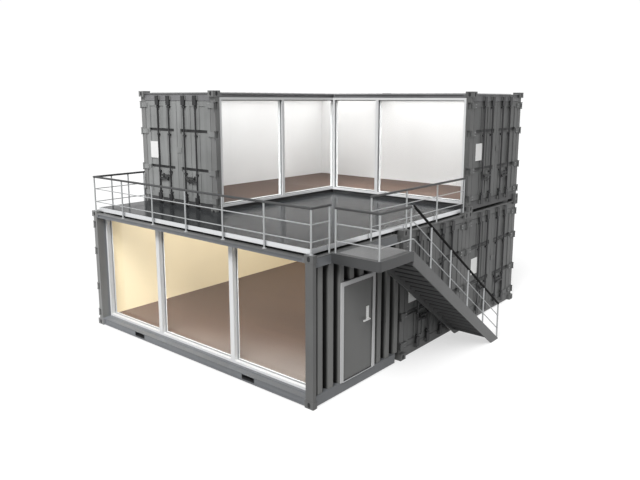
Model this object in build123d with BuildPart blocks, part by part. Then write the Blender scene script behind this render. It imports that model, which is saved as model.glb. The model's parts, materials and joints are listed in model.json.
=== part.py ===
from build123d import *
import os

# Two-storey cabin made of 20-foot, 8-foot-high shipping containers (ISO 668 type 1C).
# Millimetres, +Z up. Origin: the front-left ground corner. X runs along the glazed front,
# Y runs back from the front, Z runs up.

# ---------------------------------------------------------------- container module
LENGTH = 6058
WIDTH = 2438
HEIGHT = 2438
CASTING_LENGTH = 178
CASTING_WIDTH = 162
CASTING_HEIGHT = 118
CASTING_HOLE_WIDTH = 60
CASTING_HOLE_HEIGHT = 88
CASTING_HOLE_DEPTH = 50
POST_LENGTH = 160
POST_WIDTH = 150
ENTRANCE_POST_WIDTH = 80
FACE_INSET = 6
END_INSET = 28
DOOR_END_INSET = 50

# ---------------------------------------------------------------- rails, sills, headers
RAIL_LIFT = 20
RAIL_WIDTH = 90
BOTTOM_RAIL_TOP = 150
RAIL_FLANGE = 15
RAIL_GROOVE = 18
RAIL_GROOVE_END = 40
TOP_RAIL_FLANGE = 12
SILL_PLATE = 14
SILL_STEP = 8
SILL_STEP_WIDTH = 64
REVEAL_THICKNESS = 14
REVEAL_GAP = 0.5
TOP_RAIL_DEPTH = 128
SILL_TOP = 190
HEADER_DEPTH = 198
ROOF_THICKNESS = 12
ROOF_DROP = 45
FORK_POCKET_WIDTH = 290
FORK_POCKET_BOTTOM = 50
FORK_POCKET_TOP = 135
FORK_POCKET_SPACING = 3110

# ---------------------------------------------------------------- corrugated walls
SKIN_RIDGE_INSET = 12
SKIN_DEPTH = 50
ENTRANCE_SKIN_DEPTH = 90
ENTRANCE_SKIN_PITCH = 258
ENTRANCE_RIDGE_SHARE = 0.42
ENTRANCE_SLOPE_SHARE = 0.10
SKIN_BACK = 12
SKIN_PITCH = 240
RIDGE_SHARE = 0.30
SLOPE_SHARE = 0.16

# ---------------------------------------------------------------- floors, linings, ceilings
FLOOR_TOP = 180
LINING = 20
CEILING = 20

# ---------------------------------------------------------------- windows
FRAME_DEPTH = 120
FRAME_WIDTH = 50
GLAZING_BEAD = 15
FRONT_MULLION_WIDTH = 100
UPPER_MULLION_WIDTH = 70
FRONT_GLASS_SETBACK = 76
UPPER_GLASS_SETBACK = 34
GLASS_THICKNESS = 24
FRONT_WINDOW_RECESS = 200
UPPER_WINDOW_RECESS = 6
FRONT_MULLIONS = (1937, 4015)
UPPER_LEFT_MULLION_FROM_CORNER = 1680
UPPER_RIGHT_MULLION_FROM_CORNER = 1262

# ---------------------------------------------------------------- entrance door
DOOR_LEFT = 700
DOOR_WIDTH = 930
DOOR_HEAD = 1870
DOOR_FRAME_FACE = 45
DOOR_FRAME_PROUD = 12
DOOR_LEAF_THICKNESS = 45
DOOR_LEAF_RECESS = 23
DOOR_GAP = 8
BEAD_WIDTH = 25
BEAD_THICKNESS = 15
ENTRANCE_HINGE_RADIUS = 8
ENTRANCE_HINGE_CLEARANCE = 5
ENTRANCE_HINGE_HEIGHT = 50
ENTRANCE_KNUCKLE_GAP = 0.3
ENTRANCE_HINGE_LOW = 400
ENTRANCE_HINGE_DROP = 250
HINGE_LEAF_THICKNESS = 4
HINGE_LEAF_REACH = 35
HANDLE_PLATE_WIDTH = 70
HANDLE_PLATE_HEIGHT = 250
HANDLE_PLATE_THICKNESS = 8
HANDLE_PLATE_BOTTOM = 1060
HANDLE_EDGE = 145
LEVER_RADIUS = 14
LEVER_LENGTH = 170
LEVER_REACH = 48
LEVER_LIFT = 40

# ---------------------------------------------------------------- cargo doors
LEAF_INSET = 50
LEAF_THICKNESS = 50
LEAF_EDGE_GAP = 13
LEAF_MEETING_GAP = 10
LEAF_END_GAP = 8
LEAF_BORDER = 100
PANEL_RECESS = 12
PANEL_RIB_WIDTH = 90
PANEL_RIBS = 3
BAND_RECESS = 38
BAND_HEIGHT = 95
BAND_LOW = 840
BAND_HIGH_DROP = 818
LOCK_BOX_WIDTH = 120
LOCK_BOX_HEIGHT = 110
LOCK_BOX_BOTTOM = 1180
LOCK_BOX_THICKNESS = 14
PLACARD_START = 290
PLACARD_WIDTH = 270
PLACARD_BOTTOM = 1030
PLACARD_HEIGHT = 350
PLACARD_THICKNESS = 4
ROD_RADIUS = 15
ROD_INSET = 29
ROD_FROM_SIDE = 600
ROD_FROM_MIDDLE = 249
ROD_BOTTOM = 100
ROD_TOP_DROP = 98
CAM_WIDTH = 110
CAM_HEIGHT = 190
CAM_FACE = 10
BRACKET_WIDTH = 76
BRACKET_HEIGHT = 36
BRACKET_LOW_PLACES = (320, 760)
BRACKET_HIGH_DROPS = (898, 328)
HANDLE_BAR_LENGTH = 300
HANDLE_BAR_HEIGHT = 30
HANDLE_BAR_THICKNESS = 8
HANDLE_BAR_BOTTOM = 600
HANDLE_BAR_STEP = 70
HINGE_LOW_PLACES = (260, 825)
HINGE_HIGH_DROPS = (848, 288)
HINGE_BLADE_HEIGHT = 100
HINGE_BLADE_OUTER = 31
HINGE_BLADE_INNER = 43
HINGE_BLADE_REACH = 225
HINGE_PIN_INSET = 20
HINGE_PIN_SIDE = 20
HINGE_PIN_RADIUS = 6
HINGE_PIN_CLEARANCE = 1
HINGE_KNUCKLE_RADIUS = 12
HINGE_LUG_HEIGHT = 20
HINGE_LUG_GAP = 5
DOOR_POST_INSET = 48
POST_SLOT_WIDTH = 64
POST_SLOT_HEIGHT = 140
POST_SLOT_DEPTH = 30
POST_SLOT_INSET = 56

# ---------------------------------------------------------------- terrace
DECK_THICKNESS = 75
JOIST_WIDTH = 60
JOIST_BAYS = 7
JOIST_MARGIN = 400
JOIST_INSET = 60
DECK_FRONT_INSET = 80
DECK_SIDE_INSET = 120
DECK_CLEARANCE = 5
TRIM_THICKNESS = 10
TRIM_LIP = 2
RAILING_INSET = 50
RAILING_SIDE_INSET = 80
RAILING_HEIGHT = 700
RAILING_POST_RADIUS = 15
RAILING_TOP_RADIUS = 20
RAILING_BAR_RADIUS = 9
RAILING_BAR_HEIGHTS = (190, 455)
FRONT_RAILING_BAYS = 6
LEFT_RAILING_BAYS = 2
GATE_START_MARGIN = 15
GATE_END_MARGIN = 175
RIGHT_RAILING_BAYS = 3
RIGHT_RAILING_END_INSET = 96

# ---------------------------------------------------------------- landing and stair
LANDING_START = 460
LANDING_LENGTH = 930
LANDING_REACH = 872
LANDING_DROP = 38
LANDING_THICKNESS = 155
LANDING_CORNER = 60
LANDING_RAILING_INSET = 40
STAIR_CLEARANCE = 42
STAIR_GOING = 172
STAIR_RISER_AIM = 126
STRINGER_THICKNESS = 30
STRINGER_DEPTH = 235
TREAD_THICKNESS = 35
TREAD_NOSING = 25
RISER_THICKNESS = 8
STAIR_RAILING_HEIGHT = 700
STAIR_RAILING_START = 540
STAIR_RAILING_POSTS = 5
STAIR_RAILING_END = 50
RAILING_END_GAP = 0.5

# ---------------------------------------------------------------- worked out from the above
TOP_RAIL_BOTTOM = HEIGHT - TOP_RAIL_DEPTH
HEADER_BOTTOM = HEIGHT - HEADER_DEPTH
LINING_INSET = POST_LENGTH
FORK_POCKET_PLACES = [(LENGTH + side * FORK_POCKET_SPACING) / 2 for side in (-1, 1)]
BAND_PLACES = (BAND_LOW, HEIGHT - BAND_HIGH_DROP)
ROD_PLACES = (ROD_FROM_SIDE, WIDTH / 2 - ROD_FROM_MIDDLE)
ROD_TOP = HEIGHT - ROD_TOP_DROP
BRACKET_PLACES = BRACKET_LOW_PLACES + tuple(HEIGHT - drop for drop in BRACKET_HIGH_DROPS)
HINGE_PLACES = HINGE_LOW_PLACES + tuple(HEIGHT - drop for drop in HINGE_HIGH_DROPS)
ENTRANCE_HINGE_PLACES = (ENTRANCE_HINGE_LOW, DOOR_HEAD - ENTRANCE_HINGE_DROP)
GATE_START = LANDING_START + GATE_START_MARGIN
GATE_END = LANDING_START + LANDING_LENGTH + GATE_END_MARGIN
LANDING_TOP = HEIGHT - LANDING_DROP
STAIR_RISERS = round(LANDING_TOP / STAIR_RISER_AIM)
STAIR_RUN = STAIR_RISERS * STAIR_GOING
MIDDLE_Y = WIDTH
REAR_Y = 2 * WIDTH
BACK_Y = 3 * WIDTH
RIGHT_RAILING_END = REAR_Y - RIGHT_RAILING_END_INSET
UPPER_FRONT_Y = BACK_Y - LENGTH
ROOF_TOP = HEIGHT - ROOF_DROP
TOP_RAIL_TOP = ROOF_TOP - ROOF_THICKNESS
CEILING_BOTTOM = TOP_RAIL_BOTTOM - CEILING
DECK_TOP = HEIGHT + DECK_THICKNESS
DOOR_RIGHT = DOOR_LEFT + DOOR_WIDTH
RAIL_STEP = CASTING_LENGTH - POST_LENGTH
HEAD_STEP = CASTING_WIDTH - POST_WIDTH
CASTING_TOP_BASE = HEIGHT - CASTING_HEIGHT
SKIN_TOTAL = SKIN_DEPTH + SKIN_BACK
SIDE_FACE = FACE_INSET + SKIN_RIDGE_INSET
END_FACE = END_INSET + SKIN_RIDGE_INSET
WALL_BACK = SIDE_FACE + SKIN_TOTAL
INNER_RIGHT = LENGTH - LINING_INSET
INNER_BACK = BACK_Y - LINING_INSET
LINING_FACE = LINING_INSET + LINING
FRAME_BACK = FRONT_WINDOW_RECESS + FRAME_DEPTH
SET_BACK_POST = (LENGTH - 2 * CASTING_LENGTH, LENGTH - CASTING_LENGTH)

LOWER_PLANES = {
    "front": Plane(origin=(LENGTH, WIDTH, 0), x_dir=(-1, 0, 0), z_dir=(0, 0, 1)),
    "middle": Plane(origin=(0, MIDDLE_Y, 0), x_dir=(1, 0, 0), z_dir=(0, 0, 1)),
    "rear": Plane(origin=(0, REAR_Y, 0), x_dir=(1, 0, 0), z_dir=(0, 0, 1)),
}
UPPER_PLANES = {
    "upper_left": Plane(origin=(0, BACK_Y, HEIGHT), x_dir=(0, -1, 0), z_dir=(0, 0, 1)),
    "upper_right": Plane(origin=(0, REAR_Y, HEIGHT), x_dir=(1, 0, 0), z_dir=(0, 0, 1)),
}

os.makedirs("parts", exist_ok=True)


def save(builder, name):
    """Label a finished piece and write its STEP file."""
    builder.part.label = name
    export_step(builder.part, f"parts/{name}.step")


def save_group(builders, name):
    """Gather several sub-parts into one piece and save it."""
    with BuildPart() as group:
        add([builder.part for builder in builders])
    save(group, name)


def block(x0, x1, y0, y1, z0, z1, mode=Mode.ADD):
    """Add or cut a box between two opposite corners of the part being built."""
    with Locations(((x0 + x1) / 2, (y0 + y1) / 2, (z0 + z1) / 2)):
        Box(x1 - x0, y1 - y0, z1 - z0, mode=mode)


def inward(edge, start, stop, far):
    """Return the low and high end of a stretch measured inwards from an edge."""
    if far:
        return edge - stop, edge - start
    return edge + start, edge + stop


# ---------------------------------------------------------------- corner castings and posts
# A corner is (its end edge, far end, far side, has doors, width of its post).
LEFT_CORNERS = [(0, False, False, False, POST_WIDTH), (0, False, True, False, POST_WIDTH)]
DOOR_CORNERS = [(LENGTH, True, False, True, POST_WIDTH), (LENGTH, True, True, True, POST_WIDTH)]
ENTRANCE_CORNERS = [(CASTING_LENGTH, False, False, False, POST_WIDTH),
                    (0, False, True, False, ENTRANCE_POST_WIDTH)]
CORNERS = {
    "front": ENTRANCE_CORNERS + DOOR_CORNERS,
    "middle": LEFT_CORNERS + DOOR_CORNERS,
    "rear": LEFT_CORNERS + DOOR_CORNERS,
    "upper_left": LEFT_CORNERS + DOOR_CORNERS,
    "upper_right": DOOR_CORNERS,
}
OPEN_SIDES = {
    "front": (True,),
    "middle": (),
    "rear": (True,),
    "upper_left": (False, True),
    "upper_right": (False, True),
}


def unit_castings(unit, plane):
    """Build the corner castings of one unit, with oval holes in their open faces."""
    castings_of = {POST_WIDTH: [], ENTRANCE_POST_WIDTH: []}
    end_holes = []
    side_holes = []
    for u_edge, u_far, v_far, _, post_width in CORNERS[unit]:
        u0, u1 = inward(u_edge, 0, CASTING_LENGTH, u_far)
        v_edge = WIDTH if v_far else 0
        v0, v1 = inward(v_edge, 0, post_width + HEAD_STEP, v_far)
        for base in (0, CASTING_TOP_BASE):
            z = base + CASTING_HEIGHT / 2
            castings_of[post_width].append(((u0 + u1) / 2, (v0 + v1) / 2, z))
            if post_width == POST_WIDTH:
                end_holes.append((u_edge, (v0 + v1) / 2, z))
            if v_far in OPEN_SIDES[unit]:
                side_holes.append(((u0 + u1) / 2, v_edge, z))
    reach = 2 * CASTING_HOLE_DEPTH
    straight = CASTING_HOLE_HEIGHT - CASTING_HOLE_WIDTH
    ends = [(u, v, z + lift) for u, v, z in end_holes for lift in (-straight / 2, straight / 2)]
    sides = [(u, v, z + lift) for u, v, z in side_holes for lift in (-straight / 2, straight / 2)]
    with BuildPart(plane) as castings:
        for post_width, centres in castings_of.items():
            if centres:
                with Locations(*centres):
                    Box(CASTING_LENGTH, post_width + HEAD_STEP, CASTING_HEIGHT)
        with Locations(*end_holes):
            Box(reach, CASTING_HOLE_WIDTH, straight, mode=Mode.SUBTRACT)
        with Locations(*ends):
            Cylinder(CASTING_HOLE_WIDTH / 2, reach, rotation=(0, 90, 0), mode=Mode.SUBTRACT)
        if side_holes:
            with Locations(*side_holes):
                Box(CASTING_HOLE_WIDTH, reach, straight, mode=Mode.SUBTRACT)
            with Locations(*sides):
                Cylinder(CASTING_HOLE_WIDTH / 2, reach, rotation=(90, 0, 0), mode=Mode.SUBTRACT)
    return castings


def unit_posts(unit, plane):
    """Build the corner posts of one unit, with hinge lugs and pins beside its doors."""
    with BuildPart(plane) as posts:
        for u_edge, u_far, v_far, door_end, post_width in CORNERS[unit]:
            v_edge = WIDTH if v_far else 0
            u0, u1 = inward(u_edge, DOOR_POST_INSET if door_end else FACE_INSET, POST_LENGTH, u_far)
            v0, v1 = inward(v_edge, FACE_INSET, post_width, v_far)
            block(u0, u1, v0, v1, CASTING_HEIGHT, CASTING_TOP_BASE)
            if not door_end:
                continue
            slot_u = u_edge - POST_SLOT_INSET - POST_SLOT_WIDTH / 2
            slot_v = WIDTH - FACE_INSET if v_far else FACE_INSET
            with Locations(*[(slot_u, slot_v, z) for z in HINGE_PLACES]):
                Box(POST_SLOT_WIDTH, 2 * POST_SLOT_DEPTH, POST_SLOT_HEIGHT, mode=Mode.SUBTRACT)
            pin_v = WIDTH - HINGE_PIN_SIDE if v_far else HINGE_PIN_SIDE
            pin_u = LENGTH - HINGE_PIN_INSET
            lug_rise = HINGE_BLADE_HEIGHT / 2 + HINGE_LUG_GAP + HINGE_LUG_HEIGHT / 2
            lug_u0 = pin_u - (DOOR_POST_INSET - HINGE_PIN_INSET)
            lug_length = pin_u + HINGE_KNUCKLE_RADIUS - lug_u0
            lug_u = lug_u0 + lug_length / 2
            lug_places = [(lug_u, pin_v, z + side * lug_rise) for z in HINGE_PLACES for side in (-1, 1)]
            with Locations(*lug_places):
                Box(lug_length, 2 * HINGE_KNUCKLE_RADIUS, HINGE_LUG_HEIGHT)
            with Locations(*[(pin_u, pin_v, z) for z in HINGE_PLACES]):
                Cylinder(HINGE_PIN_RADIUS, 2 * lug_rise)
    return posts


for storey, planes in (("lower", LOWER_PLANES), ("upper", UPPER_PLANES)):
    corners = [unit_castings(unit, plane) for unit, plane in planes.items()]
    corners += [unit_posts(unit, plane) for unit, plane in planes.items()]
    save_group(corners, f"{storey}_corner_posts")


# ---------------------------------------------------------------- rails, sills and headers
def side_rails(u0, u1, v_far):
    """Add the grooved bottom and top rails along one side of a unit, between its castings."""
    v0, v1 = inward(WIDTH if v_far else 0, FACE_INSET, FACE_INSET + RAIL_WIDTH, v_far)
    block(u0, u1, v0, v1, RAIL_LIFT, CASTING_HEIGHT)
    block(u0 - RAIL_STEP, u1 + RAIL_STEP, v0, v1, CASTING_HEIGHT, BOTTOM_RAIL_TOP)
    block(u0 - RAIL_STEP, u1 + RAIL_STEP, v0, v1, TOP_RAIL_BOTTOM, CASTING_TOP_BASE)
    block(u0, u1, v0, v1, CASTING_TOP_BASE, TOP_RAIL_TOP)
    g0, g1 = inward(WIDTH if v_far else 0, FACE_INSET, FACE_INSET + RAIL_GROOVE, v_far)
    block(u0 + RAIL_GROOVE_END, u1 - RAIL_GROOVE_END, g0, g1, RAIL_LIFT + RAIL_FLANGE,
          BOTTOM_RAIL_TOP - RAIL_FLANGE, mode=Mode.SUBTRACT)
    block(u0 + RAIL_GROOVE_END, u1 - RAIL_GROOVE_END, g0, g1, TOP_RAIL_BOTTOM + TOP_RAIL_FLANGE,
          TOP_RAIL_TOP - TOP_RAIL_FLANGE, mode=Mode.SUBTRACT)


def end_rails(u_edge, u_far, far_post=POST_WIDTH):
    """Add the sill and the header across one end of a unit, between its castings."""
    u0, u1 = inward(u_edge, DOOR_END_INSET if u_far else END_INSET, POST_LENGTH, u_far)
    v0 = CASTING_WIDTH
    v1 = WIDTH - far_post - HEAD_STEP
    block(u0, u1, v0, v1, RAIL_LIFT, CASTING_HEIGHT)
    block(u0, u1, v0 - HEAD_STEP, v1 + HEAD_STEP, CASTING_HEIGHT, SILL_TOP)
    block(u0, u1, v0 - HEAD_STEP, v1 + HEAD_STEP, HEADER_BOTTOM, CASTING_TOP_BASE)
    block(u0, u1, v0, v1, CASTING_TOP_BASE, TOP_RAIL_TOP)


RAIL_END = LENGTH - CASTING_LENGTH
with BuildPart(LOWER_PLANES["front"]) as front_rails:
    side_rails(2 * CASTING_LENGTH, RAIL_END, False)
    side_rails(CASTING_LENGTH + REVEAL_GAP, RAIL_END, True)
    window_v = WIDTH - FRONT_WINDOW_RECESS
    rail_back = WIDTH - FACE_INSET - RAIL_WIDTH
    plate_start = POST_LENGTH + REVEAL_GAP
    plate_end = LENGTH - POST_LENGTH - REVEAL_GAP
    block(plate_start, plate_end, WIDTH - FRAME_BACK, rail_back,
          BOTTOM_RAIL_TOP - SILL_PLATE, BOTTOM_RAIL_TOP)
    block(plate_start, plate_end, window_v, window_v + SILL_STEP_WIDTH,
          BOTTOM_RAIL_TOP, BOTTOM_RAIL_TOP + SILL_STEP)
    block(plate_start, plate_end, WIDTH - FRAME_BACK, rail_back,
          TOP_RAIL_BOTTOM, CASTING_TOP_BASE)
    for place in FORK_POCKET_PLACES:
        pocket = LENGTH - place
        block(pocket - FORK_POCKET_WIDTH / 2, pocket + FORK_POCKET_WIDTH / 2, 0, WIDTH,
              FORK_POCKET_BOTTOM, FORK_POCKET_TOP, mode=Mode.SUBTRACT)
with BuildPart(LOWER_PLANES["front"]) as front_end_rails:
    end_rails(0, False, ENTRANCE_POST_WIDTH)
    end_rails(LENGTH, True)
with BuildPart(LOWER_PLANES["front"]) as window_reveals:
    for reveal, post_width in ((POST_LENGTH - REVEAL_THICKNESS, ENTRANCE_POST_WIDTH),
                               (LENGTH - POST_LENGTH, POST_WIDTH)):
        block(reveal, reveal + REVEAL_THICKNESS, window_v, WIDTH - post_width,
              SILL_TOP + REVEAL_GAP, HEADER_BOTTOM - REVEAL_GAP)
save_group([front_rails, front_end_rails, window_reveals], "front_unit_rails")

FULL_UNITS = {
    "middle": LOWER_PLANES["middle"],
    "rear": LOWER_PLANES["rear"],
    "upper_left": UPPER_PLANES["upper_left"],
}
for unit, plane in FULL_UNITS.items():
    with BuildPart(plane) as rails:
        side_rails(CASTING_LENGTH, RAIL_END, False)
        side_rails(CASTING_LENGTH, RAIL_END, True)
        end_rails(0, False)
        end_rails(LENGTH, True)
    save(rails, f"{unit}_unit_rails")

with BuildPart(UPPER_PLANES["upper_right"]) as upper_right_rails:
    side_rails(WIDTH + RAIL_STEP, RAIL_END, False)
    side_rails(WIDTH + RAIL_STEP, RAIL_END, True)
    end_rails(LENGTH, True)
save(upper_right_rails, "upper_right_unit_rails")


# ---------------------------------------------------------------- corrugated walls
WALL_SHAPE = (SKIN_DEPTH, SKIN_PITCH, RIDGE_SHARE, SLOPE_SHARE)
ENTRANCE_SHAPE = (ENTRANCE_SKIN_DEPTH, ENTRANCE_SKIN_PITCH, ENTRANCE_RIDGE_SHARE,
                  ENTRANCE_SLOPE_SHARE)


def corrugated_outline(length, shape):
    """List the corners of a corrugated skin in plan: waves towards y = 0, flat behind."""
    depth, pitch_aim, ridge_share, slope_share = shape
    waves = max(1, round(length / pitch_aim))
    pitch = length / waves
    ridge = pitch * ridge_share
    slope = pitch * slope_share
    valley = pitch - ridge - 2 * slope
    points = [(0, depth + SKIN_BACK), (0, depth)]
    for wave in range(waves):
        start = wave * pitch + valley / 2
        points.append((start, depth))
        points.append((start + slope, 0))
        points.append((start + slope + ridge, 0))
        points.append((start + 2 * slope + ridge, depth))
    points.append((length, depth))
    points.append((length, depth + SKIN_BACK))
    return points


def corrugated_wall(start, direction, length, base, top, shape=WALL_SHAPE):
    """Build one corrugated wall. Its waved face is on the right of its direction."""
    plane = Plane(origin=(*start, base), x_dir=(*direction, 0), z_dir=(0, 0, 1))
    with BuildPart() as wall:
        with BuildSketch(plane):
            with BuildLine():
                Polyline(*corrugated_outline(length, shape), close=True)
            make_face()
        extrude(amount=top - base)
    return wall


END_SPAN = WIDTH - 2 * POST_WIDTH
SIDE_SPAN = LENGTH - 2 * POST_LENGTH
RIGHT_FACE_X = LENGTH - END_FACE



def entrance_wall(y0, y1, base):
    """Cut one piece out of the corrugated end wall round the entrance door."""
    whole = corrugated_wall((RIGHT_FACE_X, ENTRANCE_POST_WIDTH), (0, 1),
                            WIDTH - ENTRANCE_POST_WIDTH, base, HEADER_BOTTOM, ENTRANCE_SHAPE)
    with BuildPart() as wall:
        add(whole)
        with Locations((RIGHT_FACE_X, (y0 + y1) / 2, (base + HEADER_BOTTOM) / 2)):
            Box(POST_LENGTH * 2, y1 - y0, HEADER_BOTTOM - base, mode=Mode.INTERSECT)
    return wall


save(entrance_wall(ENTRANCE_POST_WIDTH, DOOR_LEFT, SILL_TOP), "entrance_wall_left")
save(entrance_wall(DOOR_RIGHT, WIDTH, SILL_TOP), "entrance_wall_right")
save(entrance_wall(DOOR_LEFT, DOOR_RIGHT, DOOR_HEAD), "entrance_wall_over_door")
save_group([corrugated_wall((END_FACE, REAR_Y - POST_WIDTH), (0, -1), END_SPAN,
                            SILL_TOP, HEADER_BOTTOM),
            corrugated_wall((END_FACE, BACK_Y - POST_WIDTH), (0, -1), END_SPAN,
                            SILL_TOP, HEADER_BOTTOM)], "left_end_walls")
save(corrugated_wall((LENGTH - POST_LENGTH, BACK_Y - SIDE_FACE), (-1, 0), SIDE_SPAN,
                     BOTTOM_RAIL_TOP, TOP_RAIL_BOTTOM), "rear_side_wall")
save(corrugated_wall((SIDE_FACE, BACK_Y - POST_LENGTH), (0, -1), SIDE_SPAN,
                     HEIGHT + BOTTOM_RAIL_TOP, HEIGHT + TOP_RAIL_BOTTOM), "upper_left_side_wall")
save(corrugated_wall((WIDTH - POST_WIDTH, BACK_Y - END_FACE), (-1, 0), END_SPAN,
                     HEIGHT + SILL_TOP, HEIGHT + HEADER_BOTTOM), "upper_left_end_wall")
save(corrugated_wall((LENGTH - POST_LENGTH, BACK_Y - SIDE_FACE), (-1, 0),
                     LENGTH - POST_LENGTH - WIDTH,
                     HEIGHT + BOTTOM_RAIL_TOP, HEIGHT + TOP_RAIL_BOTTOM), "upper_right_back_wall")


# ---------------------------------------------------------------- roofs
def roof_plate(plane, u_start):
    """Build the roof plate of one unit: a cross that fits between its top castings."""
    with BuildPart(plane) as plate:
        block(u_start, RAIL_END, FACE_INSET, WIDTH - FACE_INSET, TOP_RAIL_TOP, ROOF_TOP)
        block(min(u_start, END_INSET), LENGTH - END_INSET, CASTING_WIDTH, WIDTH - CASTING_WIDTH,
              TOP_RAIL_TOP, ROOF_TOP)
    return plate


with BuildPart(LOWER_PLANES["front"]) as front_roof:
    block(CASTING_LENGTH, RAIL_END, CASTING_WIDTH, WIDTH - FACE_INSET, TOP_RAIL_TOP, ROOF_TOP)
    block(2 * CASTING_LENGTH, RAIL_END, FACE_INSET, WIDTH - FACE_INSET, TOP_RAIL_TOP, ROOF_TOP)
    block(END_INSET, LENGTH - END_INSET, CASTING_WIDTH, WIDTH - CASTING_WIDTH,
          TOP_RAIL_TOP, ROOF_TOP)
    block(END_INSET, CASTING_LENGTH, WIDTH - CASTING_WIDTH,
          WIDTH - ENTRANCE_POST_WIDTH - HEAD_STEP, TOP_RAIL_TOP, ROOF_TOP)
save_group([front_roof, roof_plate(LOWER_PLANES["middle"], CASTING_LENGTH),
            roof_plate(LOWER_PLANES["rear"], CASTING_LENGTH)], "ground_roof")
with BuildPart(UPPER_PLANES["upper_right"]) as upper_right_roof:
    block(WIDTH, RAIL_END, FACE_INSET, WIDTH - FACE_INSET, TOP_RAIL_TOP, ROOF_TOP)
    block(WIDTH, LENGTH - END_INSET, CASTING_WIDTH, WIDTH - CASTING_WIDTH, TOP_RAIL_TOP, ROOF_TOP)
save_group([roof_plate(UPPER_PLANES["upper_left"], CASTING_LENGTH), upper_right_roof],
           "upper_roof")

# ---------------------------------------------------------------- ground floor, lining, ceiling
POST_BOX = (SET_BACK_POST[0], INNER_RIGHT + RAIL_STEP, WIDTH - CASTING_WIDTH, WIDTH)
with BuildPart() as ground_floor:
    block(LINING_INSET, INNER_RIGHT, FRAME_BACK, BACK_Y - WALL_BACK, BOTTOM_RAIL_TOP, FLOOR_TOP)
    block(*POST_BOX, BOTTOM_RAIL_TOP, FLOOR_TOP, mode=Mode.SUBTRACT)
save(ground_floor, "ground_floor")

with BuildPart() as ground_wall_linings:
    block(LINING_INSET, LINING_FACE, FRAME_BACK, INNER_BACK - LINING, FLOOR_TOP, CEILING_BOTTOM)
    block(LINING_INSET, INNER_RIGHT - LINING, INNER_BACK - LINING, INNER_BACK,
          FLOOR_TOP, CEILING_BOTTOM)
save(ground_wall_linings, "ground_wall_linings")

with BuildPart() as entrance_side_linings:
    block(INNER_RIGHT - LINING, INNER_RIGHT, FRAME_BACK, DOOR_LEFT, FLOOR_TOP, CEILING_BOTTOM)
    block(INNER_RIGHT - LINING, INNER_RIGHT, DOOR_RIGHT, REAR_Y + POST_WIDTH,
          FLOOR_TOP, CEILING_BOTTOM)
    block(SET_BACK_POST[0] - LINING, INNER_RIGHT - LINING, POST_BOX[2] - LINING,
          POST_BOX[3] + LINING, FLOOR_TOP, CEILING_BOTTOM)
    block(*POST_BOX, FLOOR_TOP, CEILING_BOTTOM, mode=Mode.SUBTRACT)
save(entrance_side_linings, "entrance_side_linings")

with BuildPart() as lining_over_entrance:
    block(INNER_RIGHT - LINING, INNER_RIGHT, DOOR_LEFT, DOOR_RIGHT, DOOR_HEAD, CEILING_BOTTOM)
save(lining_over_entrance, "lining_over_entrance")

with BuildPart() as ground_ceiling:
    block(LINING_INSET, INNER_RIGHT, FRAME_BACK, INNER_BACK, CEILING_BOTTOM, TOP_RAIL_BOTTOM)
    block(*POST_BOX, CEILING_BOTTOM, TOP_RAIL_BOTTOM, mode=Mode.SUBTRACT)
save(ground_ceiling, "ground_ceiling")

# ---------------------------------------------------------------- upper floor, lining, ceiling
UPPER_FRAME_X = WIDTH - UPPER_WINDOW_RECESS - FRAME_DEPTH
UPPER_FRAME_Y = REAR_Y + UPPER_WINDOW_RECESS + FRAME_DEPTH
UPPER_FLOOR_BOTTOM = HEIGHT + BOTTOM_RAIL_TOP
UPPER_FLOOR_TOP = HEIGHT + FLOOR_TOP
UPPER_CEILING_BOTTOM = HEIGHT + CEILING_BOTTOM
UPPER_CEILING_TOP = HEIGHT + TOP_RAIL_BOTTOM
UPPER_INNER_FRONT = UPPER_FRONT_Y + LINING_INSET

with BuildPart() as upper_floor:
    block(WALL_BACK, UPPER_FRAME_X, UPPER_INNER_FRONT, UPPER_FRAME_Y,
          UPPER_FLOOR_BOTTOM, UPPER_FLOOR_TOP)
    block(WALL_BACK, INNER_RIGHT, UPPER_FRAME_Y, INNER_BACK, UPPER_FLOOR_BOTTOM, UPPER_FLOOR_TOP)
    block(WIDTH + UPPER_WINDOW_RECESS, INNER_RIGHT, INNER_BACK, BACK_Y - WALL_BACK,
          UPPER_FLOOR_BOTTOM, UPPER_FLOOR_TOP)
save(upper_floor, "upper_floor")

with BuildPart() as upper_wall_linings:
    block(LINING_INSET, LINING_FACE, UPPER_INNER_FRONT, INNER_BACK,
          UPPER_FLOOR_TOP, UPPER_CEILING_BOTTOM)
    block(LINING_INSET, INNER_RIGHT, INNER_BACK - LINING, INNER_BACK,
          UPPER_FLOOR_TOP, UPPER_CEILING_BOTTOM)
    block(LINING_INSET, UPPER_FRAME_X, UPPER_INNER_FRONT, UPPER_INNER_FRONT + LINING,
          UPPER_FLOOR_TOP, UPPER_CEILING_BOTTOM)
    block(INNER_RIGHT - LINING, INNER_RIGHT, UPPER_FRAME_Y, INNER_BACK,
          UPPER_FLOOR_TOP, UPPER_CEILING_BOTTOM)
save(upper_wall_linings, "upper_wall_linings")

with BuildPart() as upper_ceiling:
    block(LINING_INSET, UPPER_FRAME_X, UPPER_INNER_FRONT, UPPER_FRAME_Y,
          UPPER_CEILING_BOTTOM, UPPER_CEILING_TOP)
    block(LINING_INSET, INNER_RIGHT, UPPER_FRAME_Y, INNER_BACK,
          UPPER_CEILING_BOTTOM, UPPER_CEILING_TOP)
save(upper_ceiling, "upper_ceiling")


# ---------------------------------------------------------------- windows
def pane_edges(width, mullion_width, mullions):
    """Return the left and right edge of each pane between the frame and its mullions."""
    edges = [FRAME_WIDTH]
    for mullion in mullions:
        edges += [mullion - mullion_width / 2, mullion + mullion_width / 2]
    edges.append(width - FRAME_WIDTH)
    return list(zip(edges[::2], edges[1::2]))


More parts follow.
